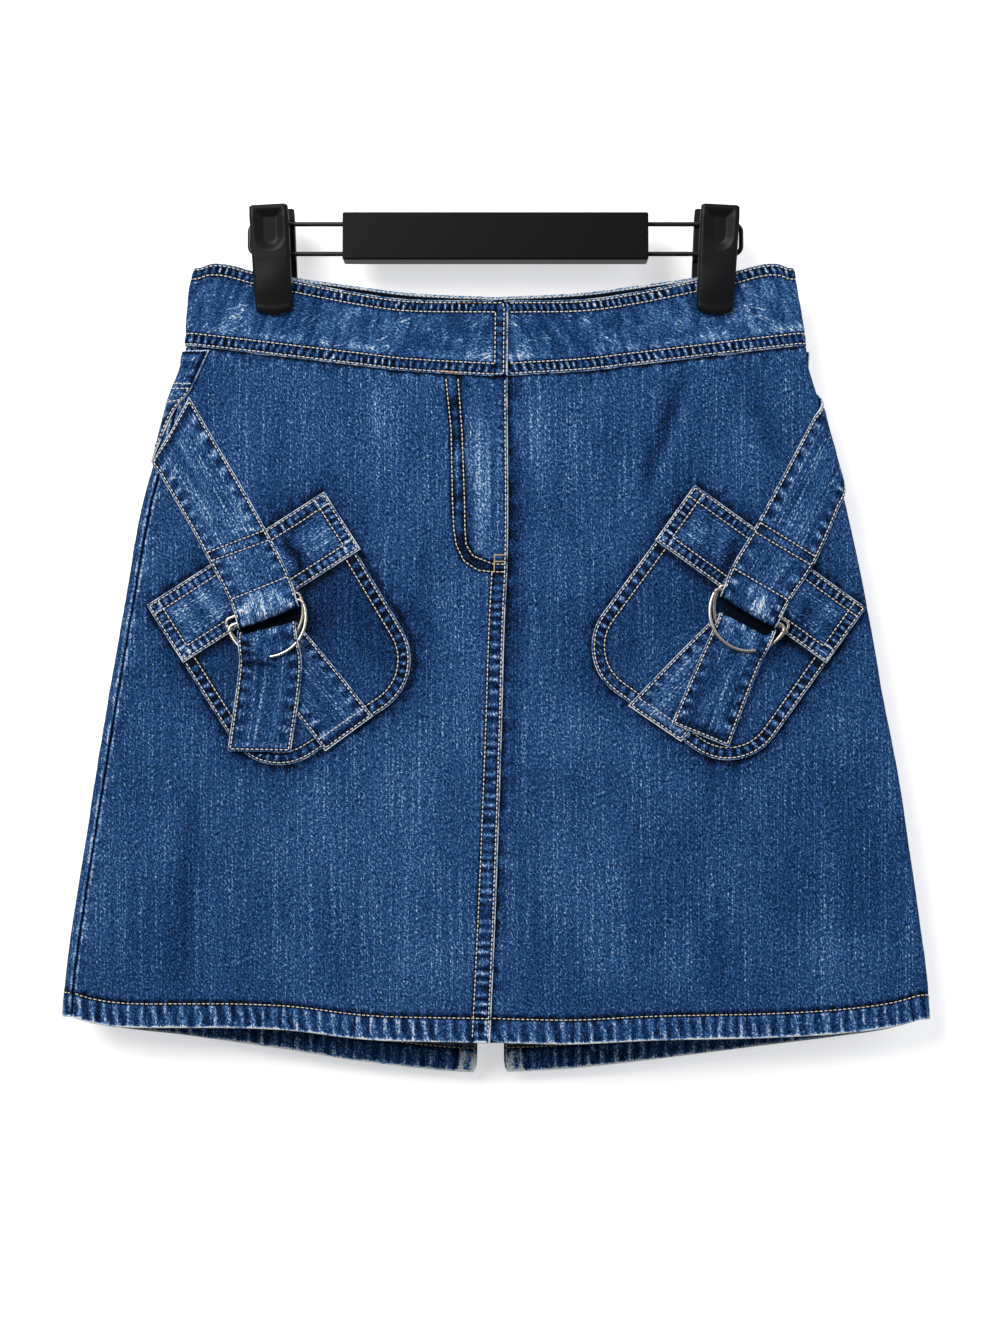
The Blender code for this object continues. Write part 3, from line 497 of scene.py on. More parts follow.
def make_thread():
    """Thread whose colour follows tone, from cream at 0 to ochre at 1."""
    material, tree, shader = new_material("core-spun jeans thread, cream to ochre")
    tone = node(tree, "Attribute", {"attribute_name": "tone"}).outputs["Fac"]
    place = node(tree, "TexCoord").outputs["Object"]
    twist = node(tree, "TexNoise", Vector=place, Scale=1 / THREAD_TWIST, Detail=1.0).outputs["Fac"]
    yarn = ramp(tree, tone, ((0.0, "#ecebe6"), (1.0, "#bb8f52"), (0.4, "#e0dac8"), (0.7, "#cfb88f")))
    shade = ranged(tree, twist, 0.3, 0.7, 0.72, 1.15)
    mixed = node(tree, "VectorMath", {"operation": "SCALE"}, Vector=yarn, Scale=shade).outputs["Vector"]
    tree.links.new(mixed, shader.inputs["Base Color"])
    set_values(shader, Roughness=0.6, IOR=1.54)
    return material


thread = make_thread()
print("thread:", thread.name)

# %% [markdown]
# ## From a grid to a cloth piece
#
# A cloth piece is a grid of points with an outer and an inner surface and a rim between them, so it is a
# closed shell as thick as the cloth. The outer surface carries the relief, and its edge rolls over as a
# turned edge does. Solidify could give the wall, but then each lump would press through to the back.
# Lines of the grid crowd at edges and stitch rows, where the fine form is, and spread out between them.

# %% From a grid to a cloth piece
EDGE_LINES = np.array([0.0, 0.12, 0.35, 0.7, 1.15, 1.6, 2.4])
ROW_LINES = np.array([-0.9, -0.4, 0.0, 0.4, 0.9])
CLEAR_OF_FINE = 0.45
CLOSEST_LINES = 0.1
EDGE_ROLL = 0.7


def grid_lines(length, step, rows=(), fine_ends=(True, True)):
    """Positions from 0 to length: even steps, but fine ones by both ends and by each stitch row."""
    fine = [np.array([0.0, length])]
    if fine_ends[0]:
        fine.append(EDGE_LINES)
    if fine_ends[1]:
        fine.append(length - EDGE_LINES)
    fine = np.concatenate(fine + [row + ROW_LINES for row in rows])
    fine = np.unique(fine[(fine >= 0) & (fine <= length)].round(2))
    fine = fine[np.concatenate([[True], np.diff(fine) > CLOSEST_LINES])]
    even = np.linspace(0, length, int(length / step) + 2)
    even = even[np.abs(even[:, None] - fine).min(axis=1) > CLEAR_OF_FINE]
    return np.sort(np.concatenate([even, fine]))


def grid_normals(points):
    """Unit normals: the slope down the grid crossed with the slope across it."""
    return unit(np.cross(np.gradient(points, axis=0), np.gradient(points, axis=1)))


def mesh_object(name, points, faces, materials):
    """An object at the origin with its place in its mesh. Points are in millimetres, faces are lists."""
    mesh = bpy.data.meshes.new(name)
    mesh.from_pydata((np.asarray(points, float).reshape(-1, 3) * MM).tolist(), [], faces)
    for material in materials:
        mesh.materials.append(material)
    mesh.shade_smooth()
    item = bpy.data.objects.new(name, mesh)
    bpy.context.scene.collection.objects.link(item)
    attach(item, "root")
    return item


def paint(item, name, values):
    """A value for every point, which a material reads by name."""
    layer = item.data.attributes.new(name, "FLOAT", "POINT")
    layer.data.foreach_set("value", np.ravel(values).astype(np.float32))


def shell_faces(rows, columns):
    """Faces of two grids back to back and of the rim between them. The second grid's points are counted on
    from the first one's. Gives the first grid's own faces, the rim's, and all together."""
    index = np.arange(rows * columns).reshape(rows, columns)
    quads = np.stack([index[:-1, :-1], index[1:, :-1], index[1:, 1:], index[:-1, 1:]], axis=-1).reshape(-1, 4)
    loop = np.concatenate([index[:, 0], index[-1, 1:], index[-2::-1, -1], index[0, -2:0:-1]])
    inside = loop + rows * columns
    rim = np.stack([loop, inside, np.roll(inside, -1), np.roll(loop, -1)], axis=-1)
    return quads, rim, np.concatenate([quads, rim, quads[:, ::-1] + rows * columns])


def shell(node_name, base, across, down, wall, relief, wear_and_shade, grain, edge, out=0.0, turned=False, back=None,
          face=None, reverse=None, folded_in=None):
    """A closed cloth shell. Outside: base + normal x (out + relief - edge roll). Inside: base - normal x
    (wall + its own relief - out). folded_in marks the points whose inner side shows the face side too, as
    a turned hem does."""
    rows, columns = base.shape[:2]
    sign = -1.0 if turned else 1.0
    normal = sign * grid_normals(base)
    sunk = EDGE_ROLL - np.sqrt(EDGE_ROLL**2 - (EDGE_ROLL - np.clip(edge, 0, EDGE_ROLL)) ** 2)
    wall = np.broadcast_to(wall, (rows, columns))
    back_relief, back_wear = back if back is not None else (0 * wall, 0 * wall)
    outer = base + normal * (out + relief - sunk)[..., None]
    inner = base + normal * (out - wall - back_relief)[..., None]
    quads, rim, faces = shell_faces(rows, columns)
    if turned:
        faces = faces[:, ::-1]
    points = np.concatenate([outer.reshape(-1, 3), inner.reshape(-1, 3)])
    two_sides = [face or denim_face, reverse or denim_reverse]
    item = mesh_object("cloth_" + node_name, points, faces.tolist(), two_sides)
    plain_inside = np.ones(len(quads)) if folded_in is None else 1 - folded_in.ravel()[quads[:, 0]]
    item.data.polygons.foreach_set(
        "material_index", np.concatenate([np.zeros(len(quads) + len(rim)), plain_inside]).astype(np.int32)
    )
    place = np.stack(np.broadcast_arrays(*grain), axis=-1).reshape(-1, 2) * MM
    place = np.concatenate([place, place])
    corners = np.zeros(len(item.data.loops), np.int32)
    item.data.loops.foreach_get("vertex_index", corners)
    item.data.uv_layers.new(name="cloth").data.foreach_set("uv", place[corners].astype(np.float32).ravel())
    paint(item, "wear_and_shade", np.concatenate([np.ravel(wear_and_shade), np.ravel(back_wear)]))
    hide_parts(node_name)
    print(f"{item.name}: {rows} x {columns} grid, {4 * len(quads) + 2 * len(rim)} triangles")
    return SimpleNamespace(
        item=item, across=across, down=down, points=outer, normals=normal, back_points=inner
    )


def cut_area(walk, drop):
    """Area of the flat cut in square metres: every cell's two diagonals crossed and halved."""
    cell = np.stack([walk, drop], axis=-1) * MM
    first, second = cell[1:, 1:] - cell[:-1, :-1], cell[1:, :-1] - cell[:-1, 1:]
    return float(np.abs(first[..., 0] * second[..., 1] - first[..., 1] * second[..., 0]).sum() / 2)


# %% [markdown]
# ## What sewing does to denim
#
# A double row of stitches draws the cloth together, so small ribs stand up between the rows. In the wash the
# ribs rub pale and the hollows stay dark, which gives jeans seams their ladder of light and dark blocks.
# Each row also lies in a narrow channel, painted dark both for dye that the wash missed and as painted shade
# in the groove, and the turned edge wears almost white.
# One function gives relief and wear_and_shade for such a seam, from the distance to the edge and the place
# along it.

# %% What sewing does to denim
FIRST_ROW = 1.4
SECOND_ROW = 7.0
ROW_DEPTH = 0.26
ROW_WIDTH = 0.88


def channel(distance, dark=1.15):
    """A stitch row's channel: a narrow bell-shaped groove, painted dark for unworn dye and as painted shade.
    """
    groove = bell(distance / ROW_WIDTH)
    return -ROW_DEPTH * groove, -dark * groove


def worn_edge(distance, along, seed, strength=1.1, width=0.8):
    """A pale line on a turned edge, a little broken along its length."""
    return strength * bell(distance / width) * (0.75 + 0.35 * noise(along / 5.0, 0.0, seed))


def worn_pair(distance, along, seed, strength):
    """A worn edge as a (relief, wear) pair, without relief."""
    return 0 * distance, worn_edge(distance, along, seed, strength)


def ribs_along(distance, along, pitch, seed, lean=0.0):
    """Ribs from -1 to 1 at a pitch that drifts, some strong and some faint: a sine of a wandering phase."""
    wander = 0.13 * pitch * noise(along / (1.6 * pitch), distance / 6.0, seed)
    wander = wander + 0.6 * pitch * noise(along / (7.0 * pitch), 0.0, seed + 1)
    wave = np.sin(2 * np.pi * (along + lean * distance + wander) / pitch)
    strength = 0.8 + 0.5 * noise(along / (1.3 * pitch), distance / 4.0, seed + 2)
    return np.tanh(1.7 * wave - 0.5) * strength


def ladder(distance, along, near, far, pitch, seed, height=0.42, wear_and_shade=0.7, lean=0.0):
    """Ribs between two rows, fading out past the further row."""
    ribs = ribs_along(distance, along, pitch, seed, lean)
    between = ease(near, near + 0.8, distance) * (1 - ease(far - 0.8, far, distance))
    past = ease(far, far + 0.8, distance) * np.exp(-np.clip(distance - far, 0, None) / 3.0)
    window = between + 0.35 * past
    return height * ribs * window, wear_and_shade * ribs * window


def seam(distance, along, pitch=4.1, seed=1, near=FIRST_ROW, far=SECOND_ROW, edge=1.1, height=0.42, wear_and_shade=0.7,
         lean=0.0):
    """A double-stitched edge: worn edge, two channels and the ladder of ribs between them."""
    ribs, rib_wear = ladder(distance, along, near, far, pitch, seed, height, wear_and_shade, lean)
    first, first_dye_and_shade = channel(distance - near)
    second, second_dye_and_shade = channel(distance - far)
    return ribs + first + second, rib_wear + first_dye_and_shade + second_dye_and_shade + worn_edge(distance, along, seed, edge)


def added(*parts):
    """The sum of several (relief, wear) pairs."""
    return sum(part[0] for part in parts), sum(part[1] for part in parts)


def faded(part, window):
    """A (relief, wear) pair that shows only as far as a window lets it."""
    return part[0] * window, part[1] * window


print("rows at", FIRST_ROW, "and", SECOND_ROW, "mm from the edge")

# %% [markdown]
# ## Stitches
#
# A lockstitch shows as a row of short thread humps whose ends dive into the cloth. Each is a small closed
# tube of four rings and five sides, bent over the channel. All the stitches on a piece are worked out as one
# array and joined in one mesh, because thousands of objects would be slow and a curve would be heavy.

# %% Stitches
STITCH_PITCH = 2.6
STITCH_LENGTH = 2.35
THREAD_RADIUS = 0.34
PATH_STEP = 0.4
# Columns: along the stitch, height over the cloth, thickness share
STITCH_RINGS = np.array([(-0.5, -0.22, 0.35), (-0.28, 0.16, 1.0), (0.28, 0.16, 1.0), (0.5, -0.22, 0.35)])
STITCH_SIDES = 5


def on_cloth(cloth, across, down, behind=False):
    """Points and normals at a piece's own positions, mixed from the four nearest grid corners."""
    i = np.interp(down, cloth.down, np.arange(len(cloth.down)))
    j = np.interp(across, cloth.across, np.arange(len(cloth.across)))
    i0 = np.minimum(i.astype(int), len(cloth.down) - 2)
    j0 = np.minimum(j.astype(int), len(cloth.across) - 2)
    u, v = (i - i0)[:, None], (j - j0)[:, None]

    def mix(grid):
        top = grid[i0, j0] * (1 - v) + grid[i0, j0 + 1] * v
        low = grid[i0 + 1, j0] * (1 - v) + grid[i0 + 1, j0 + 1] * v
        return top * (1 - u) + low * u

    return mix(cloth.back_points if behind else cloth.points), mix(cloth.normals) * (-1 if behind else 1)


def stitch_row(cloth, path, tone=0.0, pitch=STITCH_PITCH, length=STITCH_LENGTH, behind=False,
               radius=THREAD_RADIUS):
    """Stitches at even steps along a path of own (across, down) positions: points, faces and tones."""
    path = np.array(path, float)
    knots = gone(path)
    dense = np.linspace(0, knots[-1], max(int(knots[-1] / PATH_STEP), 2))
    points, normals = on_cloth(
        cloth, np.interp(dense, knots, path[:, 0]), np.interp(dense, knots, path[:, 1]), behind
    )
    passed = gone(points)
    count = max(int(passed[-1] / pitch), 1)
    middle = (np.arange(count) + 0.5) * passed[-1] / count
    size = length * (0.92 + 0.12 * noise(middle / 1.7, 0.3, 5))
    at = middle[:, None] + size[:, None] * STITCH_RINGS[:, 0]

    def read(values):
        return np.stack([np.interp(at, passed, values[:, k]) for k in range(3)], axis=-1)

    spine, out = read(points), read(normals)
    out = unit(out)
    ahead = unit(spine[:, -1:] - spine[:, :1])
    side = np.cross(ahead, out)
    angle = np.arange(STITCH_SIDES) * 2 * np.pi / STITCH_SIDES
    spine = spine + out * STITCH_RINGS[:, 1, None]
    thick = (radius * STITCH_RINGS[:, 2])[None, :, None, None]
    ring = spine[:, :, None] + thick * (
        side[:, :, None] * np.cos(angle)[:, None] + out[:, :, None] * np.sin(angle)[:, None]
    )
    ring_count, sides = len(STITCH_RINGS), STITCH_SIDES
    index = np.arange(ring_count * sides).reshape(ring_count, sides)
    onward = np.roll(index, -1, axis=1)
    quads = np.stack([index[:-1], onward[:-1], onward[1:], index[1:]], axis=-1).reshape(-1, 4)
    start = (np.arange(count) * ring_count * sides)[:, None, None]
    tones = np.clip(tone + 0.16 * noise(middle / 2.0, 0.7, 9), 0, 1)
    return ring.reshape(-1, 3), quads + start, index[[0, -1]] + start, np.repeat(tones, ring_count * sides)


def sew(name, rows):
    """Joins rows of stitches in one mesh."""
    points, quads, caps, tones = [], [], [], []
    total = 0
    for row_points, row_quads, row_caps, row_tones in rows:
        points.append(row_points)
        quads.append(row_quads.reshape(-1, 4) + total)
        caps.append(row_caps + total)
        tones.append(row_tones)
        total += len(row_points)
    ends = np.concatenate(caps)
    faces = np.concatenate(quads).tolist() + ends[:, 0, ::-1].tolist() + ends[:, 1].tolist()
    item = mesh_object(name, np.concatenate(points), faces, [thread])
    paint(item, "tone", np.concatenate(tones))
    print(f"{name}: {len(ends)} stitches")
    return item


# %% [markdown]
# ## Creases and soft patches
#
# A few creases come from how this skirt was folded and hung, so they are listed one by one. Each is a line
# with
# its own width and height: below zero it is a trough, above zero a ridge, and it fades at its ends.
# Their lengths, directions and depths vary, because cloth never repeats itself.

# %% Creases and soft patches
def creases(walk, drop, table):
    """Soft troughs and ridges: each row gives two ends, a width, a height and how pale its crest is worn;
    below zero, its trough is painted darker as shade.
    """
    height, wear_and_shade = np.zeros_like(walk), np.zeros_like(walk)
    for x0, y0, x1, y1, width, lift, pale in table:
        length = math.hypot(x1 - x0, y1 - y0)
        along = ((walk - x0) * (x1 - x0) + (drop - y0) * (y1 - y0)) / length
        aside = ((walk - x0) * (y1 - y0) - (drop - y0) * (x1 - x0)) / length
        bend = 0.12 * width * noise(along / 18.0, x0 / 9.0, 4)
        fold = bell((aside + bend) / width)
        ends = ease(-0.15 * length, 0.3 * length, along) * (1 - ease(0.7 * length, 1.15 * length, along))
        height = height + lift * fold * ends
        wear_and_shade = wear_and_shade + pale * fold * ends
    return height, wear_and_shade


def patches(walk, drop, table):
    """Soft areas, some rubbed and some painted light and shade: each row gives a middle, two half sizes and
    how pale.
    """
    wear_and_shade = np.zeros_like(walk)
    for x, y, half_x, half_y, pale in table:
        wear_and_shade = wear_and_shade + pale * np.exp(-(((walk - x) / half_x) ** 2) - ((drop - y) / half_y) ** 2)
    return np.zeros_like(walk), wear_and_shade


def unevenness(walk, drop, seed):
    """The cloth's own waviness after washing, a few tenths of a millimetre."""
    low = noise(walk / 34.0, drop / 46.0, seed) * 0.35
    high = noise(walk / 9.0, drop / 13.0, seed + 3) * 0.10
    return low + high, 0.10 * noise(walk / 21.0, drop / 33.0, seed + 5)


origin = np.zeros((1, 1))
test_ridge = creases(origin, origin, ((-20, 0, 20, 0, 4, 1, 0),))[0]
print("a test ridge is", round(float(test_ridge[0, 0]), 2), "high in its middle")

# %% [markdown]
# ## The four panels
#
# Two front and two back panels make the tube. The left front laps over the right one at the centre and keeps
# its curved fly stitching, while the back panels curve apart above the hem into a slit. At the side the back
# panel comes round to the front, so its seam is seen a little inside the outline.
# The hem is turned up 14 mm and sewn once. Its two layers feed unevenly, so it ropes into short ribs.

# %% The four panels
DENIM = 1.2
HEM_EXTRA = 0.9
HEM_DEPTH = 14.0
SEARCH_ROUNDS = 25
SEARCH_SHARE = 0.8


def lap_raise(walk, drop):
    """How far the cloth is raised beside the lap's edge, where two layers lie on each other."""
    return LAP_RAISE * ease(0.0, LAP_BLEND, LAP_BLEND - np.abs(lap_edge(drop) - walk))


def locate(cloth, walk, drop):
    """Own positions of a walk and drop on a piece, found by stepping back the miss a few times."""
    walk, drop = np.atleast_1d(np.asarray(walk, float)), np.atleast_1d(np.asarray(drop, float))
    across = np.interp(walk, cloth.walk[len(cloth.down) // 2], cloth.across)
    down = drop - cloth.drop[0].mean()
    grid = SimpleNamespace(across=cloth.across, down=cloth.down, points=cloth.flat, normals=cloth.flat)
    for _ in range(SEARCH_ROUNDS):
        found = on_cloth(grid, across, down)[0]
        across = np.clip(across + SEARCH_SHARE * (walk - found[:, 0]), 0, cloth.across[-1])
        down = np.clip(down + SEARCH_SHARE * (drop - found[:, 1]), 0, cloth.down[-1])
    return np.stack([across, down], axis=-1)


def with_map(cloth, walk, drop):
    """Keeps a piece's walk and drop, so that stitch paths can be found on it."""
    cloth.walk, cloth.drop = walk, drop
    cloth.flat = np.stack([walk, drop, 0 * walk], axis=-1)
    return cloth


def edge_distance(across, down, width, height):
    """Distance to the nearest edge of a piece with straight own coordinates."""
    return np.minimum(np.minimum(across, width - across), np.minimum(down, height - down))


def panel(name, left, right, back, side, width, height, lift_of, marks_of, fine, rows=(), step=(1.6, 2.6)):
    """A panel between two side lines, the band and the hem. lift_of and marks_of give its lift and its
    (relief, wear), fine and rows the places across and down where its grid is fine."""
    across = grid_lines(width, step[0], fine)
    down = grid_lines(height, step[1], (height - HEM_DEPTH, *rows))
    walk, drop = lay_out(across, down, left, right, band_bottom(back, GAP), hem_line(back, side))
    a, d = np.meshgrid(across, down)
    wall = DENIM + HEM_EXTRA * ease(height - HEM_DEPTH - 1.5, height - HEM_DEPTH + 1.0, d)
    lift = lift_of(walk, drop, wall)
    relief, wear_and_shade = added(marks_of(walk, drop, a, d, width, height), unevenness(walk, drop, len(name)))
    inner = hem_marks(walk, height - d, len(name) + 7)
    inner = faded(inner, ease(0, 2, d - height + HEM_DEPTH + 3))
    if back:
        inner = added(inner, facing_marks(a if side < 0 else width - a, height - d))
    cloth = shell(
        name, skin(walk, drop, lift), across, down, wall, relief, wear_and_shade, (walk, drop),
        edge_distance(a, d, width, height), back=inner, folded_in=(d >= height - HEM_DEPTH - 0.6).astype(int),
    )
    return with_map(cloth, walk, drop)


def facing_marks(off, below):
    """The slit's turned facing, seen inside: off is the distance from the slit. It ends in a worn edge."""
    low = 1 - ease(HEM_DEPTH - 1.5, HEM_DEPTH, below)
    pale = 0.75 * (1 - ease(9.5, 10.5, off)) + 0.9 * bell((off - 10.4) / 0.9)
    return 0.5 * (1 - ease(10.0, 11.0, off)) * low, (pale - 0.8 * bell((off - 12.4) / 1.0)) * low


def hem_marks(across, below, seed):
    """The turned hem: one row of stitches, ribs that lean a little below it, and a pale fold. below is the
    height over the hem's edge."""
    ribs = ribs_along(below, across, 7.2, seed, 0.12) + 0.5 * ribs_along(below, across, 4.1, seed + 4, -0.1)
    window = (1 - ease(HEM_DEPTH - 1.5, HEM_DEPTH + 5.0, below)) * ease(0.2, 1.6, below)
    line, line_dye_and_shade = channel(0.75 * (below - HEM_DEPTH), 1.5)
    ridge = 0.5 * bell((below - HEM_DEPTH + 1.6) / 1.3)
    return (
        0.38 * ribs * window + line + 0.25 * ridge,
        (0.62 * ribs + 0.14) * window + line_dye_and_shade + 0.7 * ridge + worn_edge(below, across, seed, 2.0, 1.2),
    )


def gathered(distance, along, size, reach, height, wear_and_shade, seed):
    """Short puckers that run away from a seam and fade out at their reach."""
    ribs = np.tanh(2.0 * noise(along / size, distance / (2.5 * size), seed))
    window = np.exp(-((distance / reach) ** 1.5))
    return height * ribs * window, wear_and_shade * ribs * window


def plain_seam(distance, along, seed, pale=0.75):
    """A seam without top stitching: a dark line, a light ridge beside it, and puckers both sides."""
    ribs = gathered(distance, along, 2.4, 6.0, 0.4, 0.42, seed)
    dark = bell(distance / 0.5)
    light = bell((distance - 1.3) / 0.6) * (0.85 + 0.25 * noise(along / 3.0, 0, seed + 1))
    return ribs[0] + 0.2 * light, 0.7 * ribs[1] - 0.8 * dark + pale * light


def box_distance(walk, drop, sign, corner, top, tilt, width, height, radius):
    """Distance outside a tilted box with round lower corners, below zero inside it."""
    angle = math.radians(tilt)
    x, y = corner - sign * walk, drop - top
    a = x * math.cos(angle) - y * math.sin(angle)
    d = x * math.sin(angle) + y * math.cos(angle)
    side = np.abs(a - width / 2) - width / 2
    ends = np.abs(d - height / 2) - height / 2
    plain = np.maximum(side, ends)
    round_corner = np.hypot(np.clip(side + radius, 0, None), np.clip(ends + radius, 0, None)) - radius
    return np.where((d > height / 2) & (side > -radius) & (ends > -radius), round_corner, plain)


# Columns: side, sign, corner, drop, tilt, width, taper
POCKETS = (
    ("left", -1, 201.0, 226.0, 32.5, 119.5, 3.5),
    ("right", 1, 213.4, 227.4, 35.6, 120.5, -1.5),
)
POCKET_HEIGHT = 124.0
POCKET_ROUND = 33.0


def pocket_shadow(walk, drop, pocket):
    """Around a pocket the cloth is dark and drawn in, with small puckers off its edge."""
    off = box_distance(walk, drop, *pocket[1:6], POCKET_HEIGHT, POCKET_ROUND)
    puckers = np.tanh(2.0 * noise((walk + drop) / 3.6, (walk - drop) / 5.5, 21))
    ribs = puckers * bell(off / 6.0) * (off > 0)
    return (
        -0.3 * bell(off / 3.0) + 0.25 * ribs,
        -0.7 * bell(off / 2.4) - 0.2 * bell(off / 12.0) + 0.38 * ribs,
    )


# Columns: x0, drop0, x1, drop1, width, height, pale
LEFT_CREASES = (
    (-10.5, 112, -8, 205, 2.4, 0.45, 0.26), (-4.5, 122, -3.5, 176, 1.2, 0.35, 0.35),
    (-27, 94, -15, 150, 1.7, 0.45, 0.3), (-23, 98, -20, 132, 2.4, -0.4, -0.4),
    (-15.5, 150, -14, 198, 1.3, -0.3, -0.35), (-20.5, 140, -19, 188, 1.3, -0.4, -0.35),
    (-33, 94, -21, 120, 1.6, 0.3, 0.22), (-2, 130, -1.5, 190, 0.9, -0.3, -0.35),
    (-120, 96, -128, 150, 5, -0.5, -0.15), (-70, 98, -64, 132, 4, 0.4, 0.15),
    (-176, 330, -180, 452, 6, -0.8, -0.25), (-40, 300, -52, 440, 9, 0.7, 0.1),
    (-100, 372, -92, 458, 7, -0.6, -0.1), (-60, 215, -30, 250, 5, -0.5, -0.12),
)
RIGHT_CREASES = (
    (106, 97, 83, 166, 4.5, -1, -0.45), (116, 99, 92, 158, 3.5, 0.5, 0.2),
    (12, 108, 14, 140, 2, 0.4, 0.35), (60, 100, 57, 128, 3, 0.35, 0.15),
    (150, 104, 160, 140, 5, -0.5, -0.2), (46, 260, 30, 400, 8, 0.6, 0.1),
    (120, 380, 132, 460, 8, -0.7, -0.15), (188, 350, 192, 455, 6, 0.6, 0.1),
    (36, 170, 58, 214, 5, -0.45, -0.12),
)
BACK_LEFT_CREASES = (
    (-300, 110, -284, 176, 6, -0.7, -0.15), (-262, 240, -276, 400, 9, 0.8, 0.1),
    (-372, 330, -360, 460, 8, -0.7, -0.1), (-405, 110, -398, 160, 4, 0.5, 0.15),
)
BACK_RIGHT_CREASES = (
    (286, 104, 300, 190, 6, -0.8, -0.15), (270, 300, 262, 432, 9, 0.7, 0.1),
    (380, 220, 366, 330, 7, -0.6, -0.1), (410, 108, 404, 150, 4, 0.5, 0.15),
)
# Columns: walk, drop, half sizes, pale. Broad faint rows are painted light and shade; the first right row is
# painted shadow beside the lap's edge.
LEFT_PATCHES = (
    (-7, 150, 11, 48, 0.24), (-100, 360, 60, 45, 0.06), (-185, 420, 50, 60, -0.07),
    (-70, 180, 26, 60, 0.06), (-45, 280, 18, 70, -0.06), (-120, 170, 26, 26, -0.08),
    (-2, 470.5, 5.5, 7, 0.8),
)
RIGHT_PATCHES = (
    (10, 190, 5, 120, -0.30), (95, 130, 34, 34, -0.06), (200, 380, 60, 90, -0.04),
    (60, 190, 22, 50, 0.05), (24, 126, 7, 28, 0.18),
)


def top_marks(walk, down, seed):
    """Under the waistband: a dark line of painted shade below the band's edge, and short gathers."""
    ribs = gathered(down, walk, 1.9, 6.5, 0.4, 0.42, seed)
    return ribs[0], ribs[1] - 1.1 * bell(down / 1.0)


# The fly's two rows. Columns: distance from the lap's edge, drop
FLY_OUTER = ((35.5, 95.5), (32.6, 124.8), (32.0, 166.2), (31.2, 182.0), (29.7, 191.5), (25.1, 200.7),
             (17.1, 206), (7.9, 207), (1.6, 207))
FLY_INNER = ((28.6, 95.5), (26.3, 127.1), (25.1, 166.2), (24.8, 182.0), (24.0, 191.5), (20.0, 197.8),
             (7.9, 202.6), (1.6, 202.6))


def to_path(x, y, path):
    """Distance from each point to the nearest place on a path of straight legs."""
    path = np.array(path, float)
    leg = np.diff(path, axis=0)
    away = np.stack([x, y], axis=-1)[..., None, :] - path[:-1]
    share = np.clip((away * leg).sum(-1) / (leg**2).sum(-1), 0, 1)
    return np.linalg.norm(away - share[..., None] * leg, axis=-1).min(-1)


def fly_marks(walk, drop):
    """The curved fly stitching presses the lap's lining through: two channels, small ribs and painted shade
    between them.
    """
    c = lap_edge(drop) - walk
    outer, inner = to_path(c, drop, FLY_OUTER), to_path(c, drop, FLY_INNER)
    between = 1 - ease(7.5, 9.5, outer + inner)
    ribs = (np.tanh(2.4 * noise(drop / 3.4, c / 8.0, 31)) - 0.45) * between
    return added(channel(0.75 * outer, 1.4), channel(0.75 * inner, 1.4), (0.3 * ribs, 0.55 * ribs))


def front_left_marks(walk, drop, a, d, width, height):
    """The left front: the fly's lap above, a double row along the centre below it, hem, side and pocket."""
    c = lap_edge(drop) - walk
    far = 8.8 + 1.5 * ease(207.0, 460.0, drop)
    low = ease(196.0, 212.0, drop)
    centre = seam(c, drop, 5.8, 41, 1.5, far, 2.2, 0.5, 1.0)
    fly_edge = added(
        worn_pair(c, drop, 42, 2.2), channel(c - 1.5), ladder(c, drop, 1.5, 6.0, 5.4, 43, 0.2, 0.3)
    )
    return added(
        faded(centre, low), faded(fly_edge, 1 - low), fly_marks(walk, drop), top_marks(walk, d, 44),
        hem_marks(walk, height - d, 45), plain_seam(a, drop, 46), pocket_shadow(walk, drop, POCKETS[0]),
        creases(walk, drop, LEFT_CREASES), patches(walk, drop, LEFT_PATCHES),
    )


def front_right_marks(walk, drop, a, d, width, height):
    """The right front: painted shade and drawn in beside the lap's edge, then hem, side and pocket."""
    c = walk - lap_edge(drop)
    beside = (0 * c, -0.7 * bell(c / 1.8) - 0.15 * bell(c / 8.0))
    return added(
        beside, gathered(np.abs(c), drop, 3.2, 6.0, 0.3, 0.4, 51), top_marks(walk, d, 52),
        hem_marks(walk, height - d, 53), plain_seam(width - a, drop, 54),
        pocket_shadow(walk, drop, POCKETS[1]), creases(walk, drop, RIGHT_CREASES),
        patches(walk, drop, RIGHT_PATCHES), (0, -0.02),
    )


def back_marks(side):
    """A back panel's marks: a felled centre seam, hem, side and creases."""
    def marks(walk, drop, a, d, width, height):
        from_centre = a if side < 0 else width - a
        fell = seam(from_centre, drop, 6.4, 60 + side, 1.4, 8.0, 1.1, 0.4, 0.5)
        return added(
            fell, top_marks(walk, d, 63 + side), hem_marks(walk, height - d, 66 + side),
            plain_seam(width - from_centre, drop, 69 + side),
            creases(walk, drop, BACK_LEFT_CREASES if side < 0 else BACK_RIGHT_CREASES),
        )

    return marks


def no_lift(walk, drop, wall):
    return 0 * walk


def lap_lift(walk, drop, wall):
    return lap_raise(walk, drop)


def under_lift(walk, drop, wall):
    """Under the lap the right panel lies a wall and a gap deeper, and comes up to the front beside it."""
    under = lap_raise(walk, drop) - wall - GAP
    return under * (1 - ease(1.0, LAP_BLEND, walk - lap_edge(drop)))


